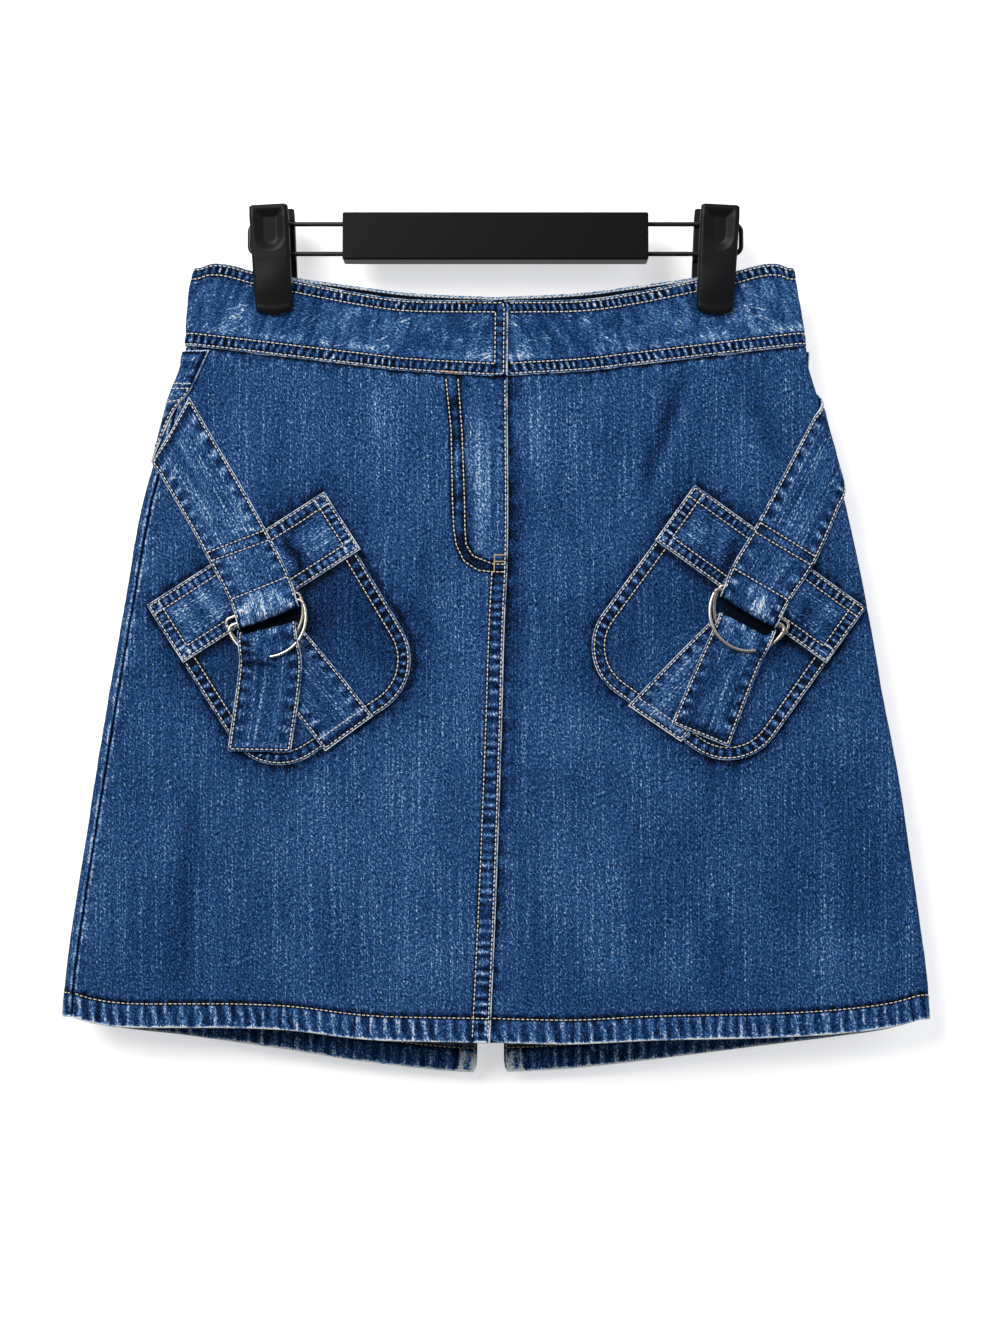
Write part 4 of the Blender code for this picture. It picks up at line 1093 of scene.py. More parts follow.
FRONT_LEFT = panel(
    "front_panel_left", lambda d: fold_start(d, -1) + GAP / 2, lap_edge, False, -1, 224.0, 384.0, lap_lift,
    front_left_marks, (222.6, 215.2, 213.7), (109.0, 113.4), (1.5, 2.5),
)
FRONT_RIGHT = panel(
    "front_panel_right", lambda d: lap_edge(d) - LAP, lambda d: fold_end(d, 1) - GAP / 2, False, 1,
    246.0, 384.0, under_lift, front_right_marks, (9.0,), step=(1.6, 2.5),
)
BACK_LEFT = panel(
    "back_panel_left", lambda d: slit_line(d, -1), lambda d: fold_start(d, -1) - GAP / 2, True, -1,
    236.0, 398.0, no_lift, back_marks(-1), (8.0,), step=(2.4, 3.6),
)
BACK_RIGHT = panel(
    "back_panel_right", lambda d: fold_end(d, 1) + GAP / 2, lambda d: slit_line(d, 1), True, 1, 218.0, 398.0,
    no_lift, back_marks(1), (210.0,), step=(2.4, 3.6),
)
print("front left cut:", round(cut_area(FRONT_LEFT.walk, FRONT_LEFT.drop), 4), "square metres")

# %% [markdown]
# ## The waistband
#
# A contour band is cut in a curve so that it follows the waist. It has a round overlap end on the left front
# and an underlap on the right, and both long edges are sewn twice. Two layers and an interfacing make it
# stiff, so its ribs stand higher than the panels' and wear paler.

# %% The waistband
BAND_RAISE = 0.5
BAND = 2.0
BAND_HEIGHT = 44.0
BAND_END_ROUND = 4.0
# Second rows, counted from the top edge and from the bottom edge
BAND_UPPER = 6.7
BAND_LOWER = 7.2
# Rows round the overlap end, counted from it
BAND_END_ROWS = (2.4, 7.4)


def band_marks(walk, d, seed, lean, end=None):
    """Two double rows along the long edges, streaks between them, and one more double row round the end."""
    up, low = d, BAND_HEIGHT - d
    top = seam(up, walk, 3.9, seed, FIRST_ROW, BAND_UPPER, 1.5, 0.36, 1.35, lean)
    bottom = seam(low, walk, 4.2, seed + 2, FIRST_ROW, BAND_LOWER, 1.4, 0.5, 1.25, -lean)
    middle = ease(7, 10, up) * ease(7, 10, low)
    streak = np.tanh(1.8 * noise((walk + lean * d) / 2.4, d / 8.0, seed + 4))
    parts = [top, bottom, (0.2 * streak * middle, (0.26 * streak + 0.05) * middle)]
    pale = bell((low - 10.5) / 2.6)
    parts.append((0.1 * pale, 0.5 * pale * (0.6 + 0.6 * noise(walk / 9.0, 0, seed + 6))))
    if end is not None:
        parts = [faded(part, ease(6.0, 8.5, end)) for part in parts]
        parts.append(seam(end, d, 5.6, seed + 8, *BAND_END_ROWS, 2.2, 0.3, 0.5))
    return added(*parts)


def front_band(name, left, right, width, lift_of, seed, lean, lap_end):
    """A front part of the band. The one with the lap's end is rounded there and sewn round it."""
    across = grid_lines(width, 1.35, [width - row for row in BAND_END_ROWS] if lap_end else ())
    down = grid_lines(BAND_HEIGHT, 1.5, (BAND_UPPER, BAND_HEIGHT - BAND_LOWER))
    walk, drop = lay_out(across, down, left, right, band_top(False), band_bottom(False))
    a, d = np.meshgrid(across, down)
    edge = edge_distance(a, d, width, BAND_HEIGHT)
    if lap_end:
        past = np.clip(walk - lap_edge(drop) + BAND_END_ROUND, 0, BAND_END_ROUND)
        drop = drop + (BAND_END_ROUND - np.sqrt(BAND_END_ROUND**2 - past**2)) * (1 - d / BAND_HEIGHT) ** 3
    marks = band_marks(walk, d, seed, lean, width - a if lap_end else None)
    relief, wear_and_shade = added(marks, unevenness(walk, drop, seed))
    cloth = shell(
        name, skin(walk, drop, lift_of(walk, drop)), across, down, BAND, relief, wear_and_shade, (drop, walk), edge,
        back=(0 * a, marks[1]), face=denim_band, reverse=denim_band,
    )
    return with_map(cloth, walk, drop)


def band_over(walk, drop):
    """Lift of the left front's band, which lies on top at the lap."""
    return BAND_RAISE + lap_raise(walk, drop)


def band_under(walk, drop):
    """Lift of the right front's band: a wall and a gap deeper under the lap."""
    under = BAND_RAISE + lap_raise(walk, drop) - BAND - GAP
    return BAND_RAISE + (under - BAND_RAISE) * (1 - ease(1.0, LAP_BLEND, walk - lap_edge(drop)))


BAND_LEFT = front_band(
    "waistband_front_left", lambda d: fold_end(d, -1) + BAND_SEAM / 2, lap_edge,
    194.0, band_over, 71, 0.35, True,
)
BAND_RIGHT = front_band(
    "waistband_front_right", lambda d: lap_edge(d) - UNDERLAP, lambda d: fold_end(d, 1) - BAND_SEAM / 2,
    202.0, band_under, 81, -0.35, False,
)


def make_back_band(width=344.0, seed=91):
    """Laid out in two halves that meet at the centre back, where the walk changes sides."""
    half = width / 2
    across = grid_lines(half, 2.2, (), (True, False))
    down = grid_lines(BAND_HEIGHT, 1.9, (BAND_UPPER, BAND_HEIGHT - BAND_LOWER))
    first = lay_out(
        across, down, lambda d: fold_end(d, 1) + BAND_SEAM / 2, lambda d: centre_back(d, 1),
        band_top(True), band_bottom(True),
    )
    second = lay_out(
        half - across[::-1], down, lambda d: centre_back(d, -1), lambda d: fold_end(d, -1) - BAND_SEAM / 2,
        band_top(True), band_bottom(True),
    )
    walk, drop = (np.concatenate([one, two[:, 1:]], axis=1) for one, two in zip(first, second))
    across = np.concatenate([across, width - across[::-1][1:]])
    a, d = np.meshgrid(across, down)
    relief, wear_and_shade = added(band_marks(a, d, seed, 0.0), unevenness(a, drop, seed))
    # Inside, the top edge is worn pale and the band below it is painted dark as shade in the gap behind the
    # front band
    top_edge, gap_shade = 1 - ease(1.3, 2.1, d), ease(1.3, 2.1, d) * (1 - ease(7.0, 11.0, d))
    inner = added(
        faded(band_marks(a, d, seed + 30, 0.0), ease(7.0, 9.0, d)), (0, 0.8 * top_edge - 1.5 * gap_shade)
    )
    cloth = shell(
        "waistband_back", skin(walk, drop, BAND_RAISE), across, down, BAND, relief, wear_and_shade, (drop, a),
        edge_distance(a, d, width, BAND_HEIGHT), back=inner, face=denim_band, reverse=denim_band,
    )
    return cloth


BAND_BACK = make_back_band()
print("waistband pieces:", [b.item.name for b in (BAND_LEFT, BAND_RIGHT, BAND_BACK)])

# %% [markdown]
# ## Pockets and flaps
#
# Each pocket is a patch with two round lower corners, set on a slant and sewn round with two rows.
# A stiffer flap covers its top. Its lower corners hang free, so they are rubbed nearly white.
# The grid of a pocket squeezes together at the round corners, and its stitch rows follow the same outline.

# %% Pockets and flaps
FLAP_WIDTH = 121.5
FLAP_HEIGHT = 39.5
FLAP_STEP = (3.0, 10.5)
FLAP = 1.4
POCKET_TOP = 13.0
POCKET_SECOND = 7.2
FLAP_PALE = {"left": 0.03, "right": -0.14}


def pocket_place(pocket, across, down):
    """Walk and drop on the panel: across runs from the outer to the inner edge, down from the flap's top."""
    sign, corner, top, tilt = pocket[1:5]
    angle = math.radians(tilt)
    walk = sign * (corner - across * math.cos(angle) - down * math.sin(angle))
    return walk, top - across * math.sin(angle) + down * math.cos(angle)


def pocket_outline(pocket, inset):
    """Own positions of a row that runs at an inset inside the pocket's sides and round lower corners."""
    width, taper = pocket[5:]
    turn = np.linspace(0, np.pi / 2, 12)
    radius = POCKET_ROUND - inset
    low = POCKET_HEIGHT - POCKET_ROUND
    left = np.stack([POCKET_ROUND - radius * np.cos(turn), low + radius * np.sin(turn)], axis=-1)
    right = left[::-1] * [-1, 1] + [width, 0]
    right[:, 0] -= taper * right[:, 1] / POCKET_HEIGHT
    start = [[inset, POCKET_TOP + 1.0]]
    stop = [[width - taper * POCKET_TOP / POCKET_HEIGHT - inset, POCKET_TOP + 1.0]]
    return np.concatenate([start, left, right, stop])


# Painted shade where the folded straps lie over the cloth and between them. Columns: walk, drop, half sizes,
# pale
STRAP_SHADE = {
    "left": ((129, 236, 19, 9, -1.5), (118, 246, 9, 7, -0.6)),
    "right": ((148, 238, 19, 9, -1.5), (136, 228, 9, 7, -0.8)),
}


def make_pocket(pocket):
    """The patch pocket. Its grid lines run down it, closer together where the lower corners round off."""
    side, sign = pocket[:2]
    width, taper = pocket[5:]
    low = POCKET_HEIGHT - POCKET_ROUND
    straight = grid_lines(low - POCKET_TOP, 1.7, (), (True, False)) + POCKET_TOP
    bent = low + POCKET_ROUND * np.sin(np.linspace(0, np.pi / 2, 30)[1:])
    down = np.concatenate([straight, bent])
    across = grid_lines(width, 1.6, (POCKET_SECOND, width - POCKET_SECOND))
    d = down[:, None] + 0 * across
    inset = POCKET_ROUND - np.sqrt(np.clip(POCKET_ROUND**2 - np.clip(d - low, 0, None) ** 2, 0, None))
    local = width - taper * d / POCKET_HEIGHT - 2 * inset
    a = stretched(inset, inset + local, across[None, :] + 0 * d, width)
    walk, drop = pocket_place(pocket, a, d)
    side_off = np.minimum(a, width - taper * d / POCKET_HEIGHT - a)
    into = np.hypot(np.clip(POCKET_ROUND - side_off, 0, None), np.clip(d - low, 0, None))
    off = np.minimum(side_off, POCKET_HEIGHT - d)
    off = np.where((side_off < POCKET_ROUND) & (d > low), POCKET_ROUND - into, off)
    turned = np.arctan2(np.clip(d - low, 0, None), np.clip(POCKET_ROUND - side_off, 0.001, None))
    along = np.minimum(d, low) + POCKET_ROUND * turned + np.clip(side_off - POCKET_ROUND, 0, None) * (d > low)
    border = seam(off, along, 6.2, 101 + sign, FIRST_ROW, POCKET_SECOND, 1.7, 0.5, 1.0)
    cloudy = 0.25 * noise(a / 14.0, d / 14.0, 105)
    dark = -0.3 * np.exp(-(((a - 0.72 * width) / 40) ** 2) - ((d - 66) / 36) ** 2) * (sign < 0) - 0.1
    # Painted shadow of the flap just below its edge, and painted shade under the folded straps
    beside = -0.8 * bell(np.clip(d - FLAP_HEIGHT, 0, None) / 4.5)
    beside = beside + patches(walk * sign, drop, STRAP_SHADE[side])[1]
    relief, wear_and_shade = added(border, (0.8 * cloudy, 0.3 * cloudy + dark + beside), unevenness(a, d, 107 + sign))
    cloth = shell(
        f"pocket_{side}", skin(walk, drop, GAP + DENIM), across, down, DENIM, relief, wear_and_shade,
        (walk * sign, drop), np.minimum(np.clip(off, 0, None), d - POCKET_TOP), turned=sign > 0,
    )
    return with_map(cloth, a, d)


# Dents where the strap pulls on the flap. Columns: x0, drop0, x1, drop1, width, height, pale
FLAP_DENTS = {
    "left": (
        (110, 5, 88, 12, 2.4, -0.5, -0.7), (88, 10, 88, 24, 3, -0.6, -0.8),
        (91, 22, 84, 33, 2.4, -0.5, -0.8), (96, 14, 95, 30, 2, 0.4, 0.25),
        (30, 8, 34, 32, 3, 0.3, 0.2),
    ),
    "right": (
        (84, 9, 78, 31, 3, -0.5, -0.6), (92, 10, 86, 34, 2, 0.3, 0.2),
        (30, 12, 26, 32, 2.4, -0.3, -0.3), (100, 8, 104, 30, 2, 0.3, 0.2),
    ),
}


def make_flap(pocket):
    """The flap lies on the panel at its top and steps up on to the pocket lower down."""
    side, sign = pocket[:2]
    across = grid_lines(FLAP_WIDTH, 1.5, (POCKET_SECOND, FLAP_WIDTH - POCKET_SECOND))
    down = grid_lines(FLAP_HEIGHT, 1.5, (POCKET_SECOND, FLAP_HEIGHT - POCKET_SECOND))
    a, d = np.meshgrid(across, down)
    walk, drop = pocket_place(pocket, a, d)
    lift = GAP + FLAP + (DENIM + GAP) * ease(*FLAP_STEP, d)
    nearest = edge_distance(a, d, FLAP_WIDTH, FLAP_HEIGHT)
    by_side = np.minimum(a, FLAP_WIDTH - a) < np.minimum(d, FLAP_HEIGHT - d)
    border = seam(nearest, np.where(by_side, d, a), 4.6, 111 + sign, FIRST_ROW, POCKET_SECOND, 1.8, 0.5, 1.0)
    tips = np.exp(-((np.minimum(a, FLAP_WIDTH - a) / 13) ** 2) - ((FLAP_HEIGHT - d) / 9) ** 2)
    middle = ease(7, 10, nearest)
    streak = np.tanh(1.5 * noise(a / 6.0, d / 11.0, 115 + sign))
    dents = creases(a, d, FLAP_DENTS[side])
    # Painted shade where the folded straps lie over the flap
    covered = patches(walk * sign, drop, STRAP_SHADE[side])
    slubs = (0.2 * streak * middle, 0.24 * streak * middle + FLAP_PALE[side] + 0.6 * tips)
    relief, wear_and_shade = added(border, slubs, dents, covered, unevenness(a, d, 117))
    cloth = shell(
        f"pocket_flap_{side}", skin(walk, drop, lift), across, down, FLAP, relief, wear_and_shade, (d, a), nearest,
        turned=sign > 0, face=denim_strap,
    )
    return cloth


POCKET_CLOTH = {pocket[0]: make_pocket(pocket) for pocket in POCKETS}
FLAP_CLOTH = {pocket[0]: make_flap(pocket) for pocket in POCKETS}
print("pockets:", sorted(POCKET_CLOTH), "flaps:", sorted(FLAP_CLOTH))

# %% [markdown]
# ## Straps and tabs
#
# Two long straps come down over the flaps, turn round the rings and end in a sewn loop. Two shorter ones are
# folded over a ring and hang loose. Each is cut, folded to a flat tube, turned and stitched along both edges.
# The same function builds all of them: it takes the strap's two edges and the height of its base surface,
# step by step, and measures the way along the strap so that stitches and ribs keep their true size.

# %% Straps and tabs
# Columns: inner_walk, inner_drop, outer_walk, outer_drop
UPPER_STRAPS = {
    "left": (
        (112.4, 227.1, 146.9, 240.4), (116.4, 213.5, 150.9, 227.5), (130.8, 184.6, 166.2, 197.8),
        (176.5, 105.9, 197, 144.3),
    ),
    "right": (
        (128.5, 221.4, 160.1, 239.8), (134.6, 206, 168, 225.4), (149.8, 180, 184.3, 200.7),
        (191.8, 102, 210.6, 135.5),
    ),
}
LOWER_STRAPS = {
    "left": (
        (70.2, 289.8, 97.5, 309.9), (92, 262.2, 122.6, 277.4), (114.7, 235.2, 147.3, 243.7),
        (111, 263.1, 147.2, 262.2), (117.3, 310.5, 153.8, 309.9),
    ),
    "right": (
        (76, 283.8, 106.4, 304.4), (101.6, 257.2, 131, 276.4), (129, 230, 158.4, 245.6),
        (115, 261, 149.2, 266.8), (100.9, 293.8, 133.7, 307.6),
    ),
}
SIDE_TABS = {
    "left": (
        (164.9, 78.9, 201.7, 79.6), (174.9, 100.3, 206, 100), (178.5, 105.5, 208.5, 110),
        (184.4, 113, 210.5, 120), (190.7, 127, 212, 131), (198.2, 143, 213, 144),
    ),
    "right": (
        (181.7, 79.2, 218.7, 79.6), (191.9, 100.3, 223, 100), (195.5, 105.5, 226, 110),
        (201.4, 113, 228, 120), (207.7, 127, 229.5, 131), (214.9, 142, 230.5, 142),
    ),
}
# Columns: along, lift
UPPER_LIFT = (
    (5, 10.2), (7, 9.9), (10, 8.8), (15, 6.6), (20, 5.3), (30, 4.6), (36, 4.5), (40, 4.3),
    (44, 3.7), (49, 3), (54, 2.1), (60, 1.4), (110, 1.35), (150, 1.35),
)
OVER_STEPS = 200
LOOP_UNDER_LIFT = 4.1
FOLD_CLEARANCE = 0.7
# Rows across an upper strap. Columns: from_fold, tone
STRAP_CROSS = ((14.0, 0.1), (38.5, 0.35), (44.5, 0.3))
TAB_LIFT = 0.9
TAB_STEPS = 80
# Rows across a side tab
TAB_CROSS = (20.0, 23.0, 33.0)
LOOP_LENGTH = 14.0
LEG_STEPS = 60
TAIL_STEPS = 80
LEG_LIFT = 2.45
TAIL_LIFT = 7.2
TAIL_END_LIFT = 4.4
STRAP = 1.4
LOWER_STRAP = 1.5
STRAP_PALE = {"left": 0.12, "right": -0.04}


def travel(edges, lift):
    """Distance along a strap's middle line, with its rise and fall."""
    return gone(np.stack([(edges[0] + edges[2]) / 2, (edges[1] + edges[3]) / 2, lift], axis=-1))


def strap_marks(a, d, width, length, seed):
    """A row just inside every edge with ribs along it, and cloudy slubs between."""
    off = edge_distance(a, d, width, length)
    border = added(
        worn_pair(off, d, seed, 1.8), channel(off - FIRST_ROW, 1.3),
        ladder(off, d, FIRST_ROW, 6.5, 8.5, seed, 0.35, 0.6),
    )
    streak = np.tanh(1.6 * noise(a / 3.2, d / 16.0, seed + 3)) * ease(4.0, 7.0, off)
    return added(border, (0.12 * streak, 0.22 * streak))


def ribbon(name, sign, edges, lift, thickness, seed, out, marks=None, behind=False, step=1.5,
           raised=None):
    """A strap from its two edges and the height of its base surface along its length. marks adds relief and
    wear, behind dresses its underside too, and raised lifts it over what lies below."""
    knots = travel(edges, lift)
    length = knots[-1]
    width = float(np.hypot(edges[2] - edges[0], edges[3] - edges[1]).mean())
    across = grid_lines(width, step)
    down = grid_lines(length, step)
    here = [np.interp(down, knots, row)[:, None] for row in edges]
    rise = np.interp(down, knots, lift)[:, None]
    share = across[None, :] / width
    walk = sign * (here[0] + (here[2] - here[0]) * share)
    drop = here[1] + (here[3] - here[1]) * share
    a, d = np.meshgrid(across, down)
    relief, wear_and_shade = strap_marks(a, d, width, length, seed)
    if marks is not None:
        more, more_wear = marks(a, d)
        relief, wear_and_shade = relief + more, wear_and_shade + more_wear
    other = strap_marks(a, d, width, length, seed + 7) if behind else None
    if raised is not None:
        out = out + raised(walk * sign, drop, rise + 0 * walk, d)
    cloth = shell(
        name, skin(walk, drop, rise + 0 * walk), across, down, thickness, relief, wear_and_shade, (a, d),
        edge_distance(a, d, width, length), out=out, turned=sign < 0, back=other, face=denim_strap,
        reverse=denim_strap,
    )
    cloth.length, cloth.width = length, width
    return cloth


def strap_edges(rows, along):
    """The four edge values of a strap at distances along it. Past its fold the strap runs on straight."""
    knots = gone((rows[:, :2] + rows[:, 2:]) / 2)
    inside = np.stack([smooth(knots, rows[:, k], along) for k in range(4)])
    slope = (rows[1] - rows[0]) / knots[1]
    return inside + slope[:, None] * np.minimum(along, 0), knots[-1]


def make_upper_strap(side, sign, seed):
    """From the side down over the flap, round the rings and back under itself to the loop's stitching."""
    rows = np.array(UPPER_STRAPS[side], float)
    length = strap_edges(rows, np.zeros(1))[1]
    over = np.linspace(length, UPPER_LIFT[0][0], OVER_STEPS)
    over_lift = curve(UPPER_LIFT, 1, over) + FOLD_CLEARANCE * ease(60.0, 85.0, over)
    middle = (UPPER_LIFT[0][1] + LOOP_UNDER_LIFT) / 2
    radius = (UPPER_LIFT[0][1] - LOOP_UNDER_LIFT) / 2
    turn = np.linspace(0, np.pi, 40)
    along = np.concatenate([over, radius + STRAP / 2 - radius * np.sin(turn), [6.5, 10.0, LOOP_LENGTH]])
    lift = np.concatenate([over_lift, middle + radius * np.cos(turn), np.full(3, LOOP_UNDER_LIFT)])
    edges = strap_edges(rows, along)[0]
    over_end = travel(edges[:, :OVER_STEPS], over_lift)[-1]

    def marks(a, d):
        """Cross rows where the loop and the strap are sewn down, and a worn, wrinkled loop."""
        from_fold = over_end - d
        cross = added(*(channel(from_fold - row[0]) for row in STRAP_CROSS))
        wrinkles = np.tanh(1.8 * noise(a / 3.0, d / 5.0, seed + 20)) * bell((from_fold - 4) / 7.0)
        worn = bell((from_fold - 3.0) / 7.0)
        return added(cross, (0.35 * wrinkles, 0.5 * wrinkles + 0.3 * worn + STRAP_PALE[side]))

    cloth = ribbon(f"upper_strap_{side}", sign, edges, lift, STRAP, seed, STRAP / 2, marks)
    cloth.over_end = over_end
    return cloth


# Columns: name, side, shift, bar_inset, bar_lift, arc_lift
RINGS = (
    ("inner", "left", 1.5, 8.4, 6.05, 4.5), ("outer", "left", 1.2, 4.0, 8.25, 10.1),
    ("inner", "right", 1.8, 7.2, 6.05, 4.5), ("outer", "right", 0.4, 4.0, 8.25, 10.1),
)
RING_WIRE = 0.95
RING_HALF = 22.7
RING_LEGS = 2.8
RING_CORNER = 3.0
# The outer ring lies on the tail between these walks, and the tail bulges over it beyond them
RING_SHOWS = {"left": (114.0, 128.5), "right": (90.0, 149.0)}
# How nearly the tail's roll comes up to the wire from inside the arc
ROLL_INSIDE = {"left": 0.72, "right": 0.45}


def ring_line(ring_row):
    """A ring's middle line: a straight bar with round corners, two short legs and a half circle, hung in the
    upper strap's fold and leaning from its bar's height to its arc's."""
    side, shift, bar_inset, bar_lift, arc_lift = ring_row[1:]
    corner, arc, c = np.linspace(0, np.pi / 2, 9), np.linspace(0, np.pi, 57), RING_CORNER
    right = RING_HALF - c + c * np.sin(corner), c - c * np.cos(corner)
    across = np.concatenate([right[0], RING_HALF * np.cos(arc), -right[0][::-1]])
    down = np.concatenate([right[1], RING_LEGS + RING_HALF * np.sin(arc), right[1][::-1]])
    fold_row = np.array(UPPER_STRAPS[side][0], float)
    axis = unit(fold_row[2:] - fold_row[:2])
    down_axis = np.array([-axis[1], axis[0]])
    centre = (fold_row[2:] + fold_row[:2]) / 2 + axis * shift - down_axis * bar_inset
    flat = centre + across[:, None] * axis + down[:, None] * down_axis
    return flat[:, 0], flat[:, 1], bar_lift + (arc_lift - bar_lift) * down / down.max()


def over_ring(side, walk, drop, lift, on_tail):
    """How far the tail is raised to pass over the outer ring's arc, with small folds running off it."""
    line = ring_line([row for row in RINGS if row[:2] == ("outer", side)][0])
    off = np.hypot(walk[..., None] - line[0], drop[..., None] - line[1])
    nearest = off.argmin(axis=-1)
    off = off.min(axis=-1)
    needed = np.clip(line[2][nearest] + RING_WIRE + 1.5 - lift, 0, None)
    inner, outer = RING_SHOWS[side]
    hidden = ease(outer - 2.0, outer + 2.0, walk) + 1 - ease(inner - 1.5, inner + 1.5, walk)
    roll = ROLL_INSIDE[side] * ease(0.2, 1.2, line[1][nearest] - drop)
    covered = np.maximum(hidden, roll) * on_tail
    folds = 0.5 * np.tanh(1.6 * noise(walk / 2.4, drop / 4.0, 77)) * bell(off / 5.0)
    return (needed * np.exp(-((off / 4.2) ** 4)) + folds) * covered


def make_lower_strap(side, sign, seed):
    """From its root in the pocket's seam up behind the rings, over the inner one, and down as a tail."""
    rows = np.array(LOWER_STRAPS[side], float)
    leg = np.array([smooth((0, 1, 2), rows[:3, k], np.linspace(0, 2, LEG_STEPS)) for k in range(4)])
    tail = np.array([smooth((0, 1, 2), rows[2:, k], np.linspace(0, 2, TAIL_STEPS)) for k in range(4)])
    radius = (TAIL_LIFT - LEG_LIFT) / 2
    turn = np.linspace(0, np.pi, 30)[1:-1]
    leg_step = (leg[:, -1] - leg[:, -2]) / np.linalg.norm((leg[:, -1] - leg[:, -2])[:2])
    tail_step = (tail[:, 0] - tail[:, 1]) / np.linalg.norm((tail[:, 0] - tail[:, 1])[:2])
    top = radius + LOWER_STRAP / 2
    leg_end = leg[:, -1] - leg_step * top
    tail_start = tail[:, 0] - tail_step * top
    leg = leg + (leg_end - leg[:, -1])[:, None] * np.linspace(0, 1, LEG_STEPS) ** 4
    tail_share = np.linspace(0, 1, TAIL_STEPS)
    tail = tail + (tail_start - tail[:, 0])[:, None] * (1 - tail_share) ** 4
    mix = (1 - np.cos(turn)) / 2
    step = leg_step[:, None] * (1 - mix) + tail_step[:, None] * mix
    base = leg_end[:, None] * (1 - mix) + tail_start[:, None] * mix
    edges = np.concatenate([leg, base + step * radius * np.sin(turn), tail], axis=1)
    tail_lift = TAIL_LIFT + (TAIL_END_LIFT - TAIL_LIFT) * ease(0.30, 0.95, tail_share)
    lift = np.concatenate([np.full(LEG_STEPS, LEG_LIFT), LEG_LIFT + radius * (1 - np.cos(turn)), tail_lift])
    fold = travel(edges, lift)[LEG_STEPS]

    def marks(a, d):
        """The tail's end and the fold are worn palest, with short wrinkles by the fold."""
        wrinkles = np.tanh(1.8 * noise(a / 3.2, d / 5.0, seed + 20)) * bell((d - fold - 8) / 9.0)
        return 0.3 * wrinkles, 0.45 * wrinkles + 0.25 * bell((d - fold - 3) / 8.0) - 0.1

    def raised(walk, drop, lift, d):
        return over_ring(side, walk, drop, lift, ease(fold, fold + 4.0, d))

    cloth = ribbon(
        f"lower_strap_{side}", sign, edges, lift, LOWER_STRAP, seed, LOWER_STRAP / 2, marks, True,
        raised=raised,
    )
    cloth.fold = fold
    return cloth


def make_tab(side, sign, seed):
    """The short strap that comes down from the waistband and rounds the side fold."""
    rows = np.array(SIDE_TABS[side], float)
    knots = np.arange(len(rows))
    at = np.linspace(0, knots[-1], TAB_STEPS)
    edges = np.array([smooth(knots, rows[:, k], at) for k in range(4)])
    lift = np.full(TAB_STEPS, TAB_LIFT + STRAP)
    return ribbon(f"side_tab_{side}", sign, edges, lift, STRAP, seed, 0.0, step=1.6)


SIDES = (("left", -1), ("right", 1))
UPPER_CLOTH = {side: make_upper_strap(side, sign, 121 + 30 * sign) for side, sign in SIDES}
LOWER_CLOTH = {side: make_lower_strap(side, sign, 191 + 30 * sign) for side, sign in SIDES}
TAB_CLOTH = {side: make_tab(side, sign, 233 + 5 * sign) for side, sign in SIDES}
print("strap lengths:", [round(cloth.length, 1) for cloth in UPPER_CLOTH.values()])

# %% [markdown]
# ## Sewing
#
# Now each seam gets its thread. Rows follow the edges at the same distances as the channels: 1.4 and about
# 7 mm in. The fly's J and the hem are a little golden, bar tacks lean to ochre and most rows are cream. A bar
# tack is a short dense zigzag that locks a strain point, so it is drawn as tight stitches across its line.

# %% Sewing
CREAM = 0.1
PALE_GOLD = 0.3
GOLD = 0.38
OCHRE = 0.95
HEM_PITCH = 2.75
TACK_STEP = 0.62
TACK_RADIUS = 0.27
# Longer than any tack is wide, so that each of its lines is one stitch
TACK_PITCH = 9.0
LOOKUP_STEP = 4.0


def seen(cloth, path):
    """A path given as walk and drop, turned into the piece's own positions."""
    path = np.array(path, float)
    steps = gone(path)
    at = np.linspace(0, steps[-1], max(int(steps[-1] / LOOKUP_STEP), 2))
    at = np.unique(np.concatenate([at, steps]))
    return locate(cloth, np.interp(at, steps, path[:, 0]), np.interp(at, steps, path[:, 1]))


def bar_tack(cloth, start, stop, tone=OCHRE, reach=0.7):
    """Tight stitches across a short line, reaching so far to both sides of it."""
    start, stop = np.array(start, float), np.array(stop, float)
    length = np.linalg.norm(stop - start)
    along = (stop - start) / length
    aside = np.array([-along[1], along[0]]) * reach
    rows = []
    for step in np.arange(0.0, length, TACK_STEP):
        middle = start + along * step
        line = (middle - aside, middle + aside)
        rows.append(stitch_row(cloth, line, tone, TACK_PITCH, 2.2 * reach, radius=TACK_RADIUS))
    return rows


def box_rows(width, height, inset):
    """Rows round a flap at an inset. The upper and side ones run on to its edges and cross at the upper
    corners, which leaves a small box there."""
    x0, x1, y0, y1 = inset, width - inset, inset, height - inset
    reach = min(inset, 1.2)
    return [
        (((reach, y0), (width - reach, y0)), PALE_GOLD), (((x0, y1), (x1, y1)), CREAM),
        (((x0, reach), (x0, y1)), CREAM), (((x1, reach), (x1, y1)), CREAM),
    ]


def across_strap(cloth, at, tone=CREAM, inset=FIRST_ROW, behind=False):
    """One row across a strap, at a distance along it."""
    return stitch_row(cloth, ((inset, at), (cloth.width - inset, at)), tone, behind=behind)


def along_strap(cloth, start, stop, behind=False):
    """The two rows along a strap's edges."""
    return [
        stitch_row(cloth, ((at, start), (at, stop)), CREAM, behind=behind)
        for at in (FIRST_ROW, cloth.width - FIRST_ROW)
    ]


def hem_stitches(cloth, start, stop, behind=False):
    """The hem's one row, between two places across a panel."""
    at = cloth.down[-1] - HEM_DEPTH
    return stitch_row(cloth, ((start, at), (stop, at)), GOLD, HEM_PITCH, behind=behind)


def from_lap(points):
    """Points given by their distance from the lap's edge, turned into walk and drop."""
    points = np.array(points, float)
    return np.stack([lap_edge(points[:, 1]) - points[:, 0], points[:, 1]], axis=-1)


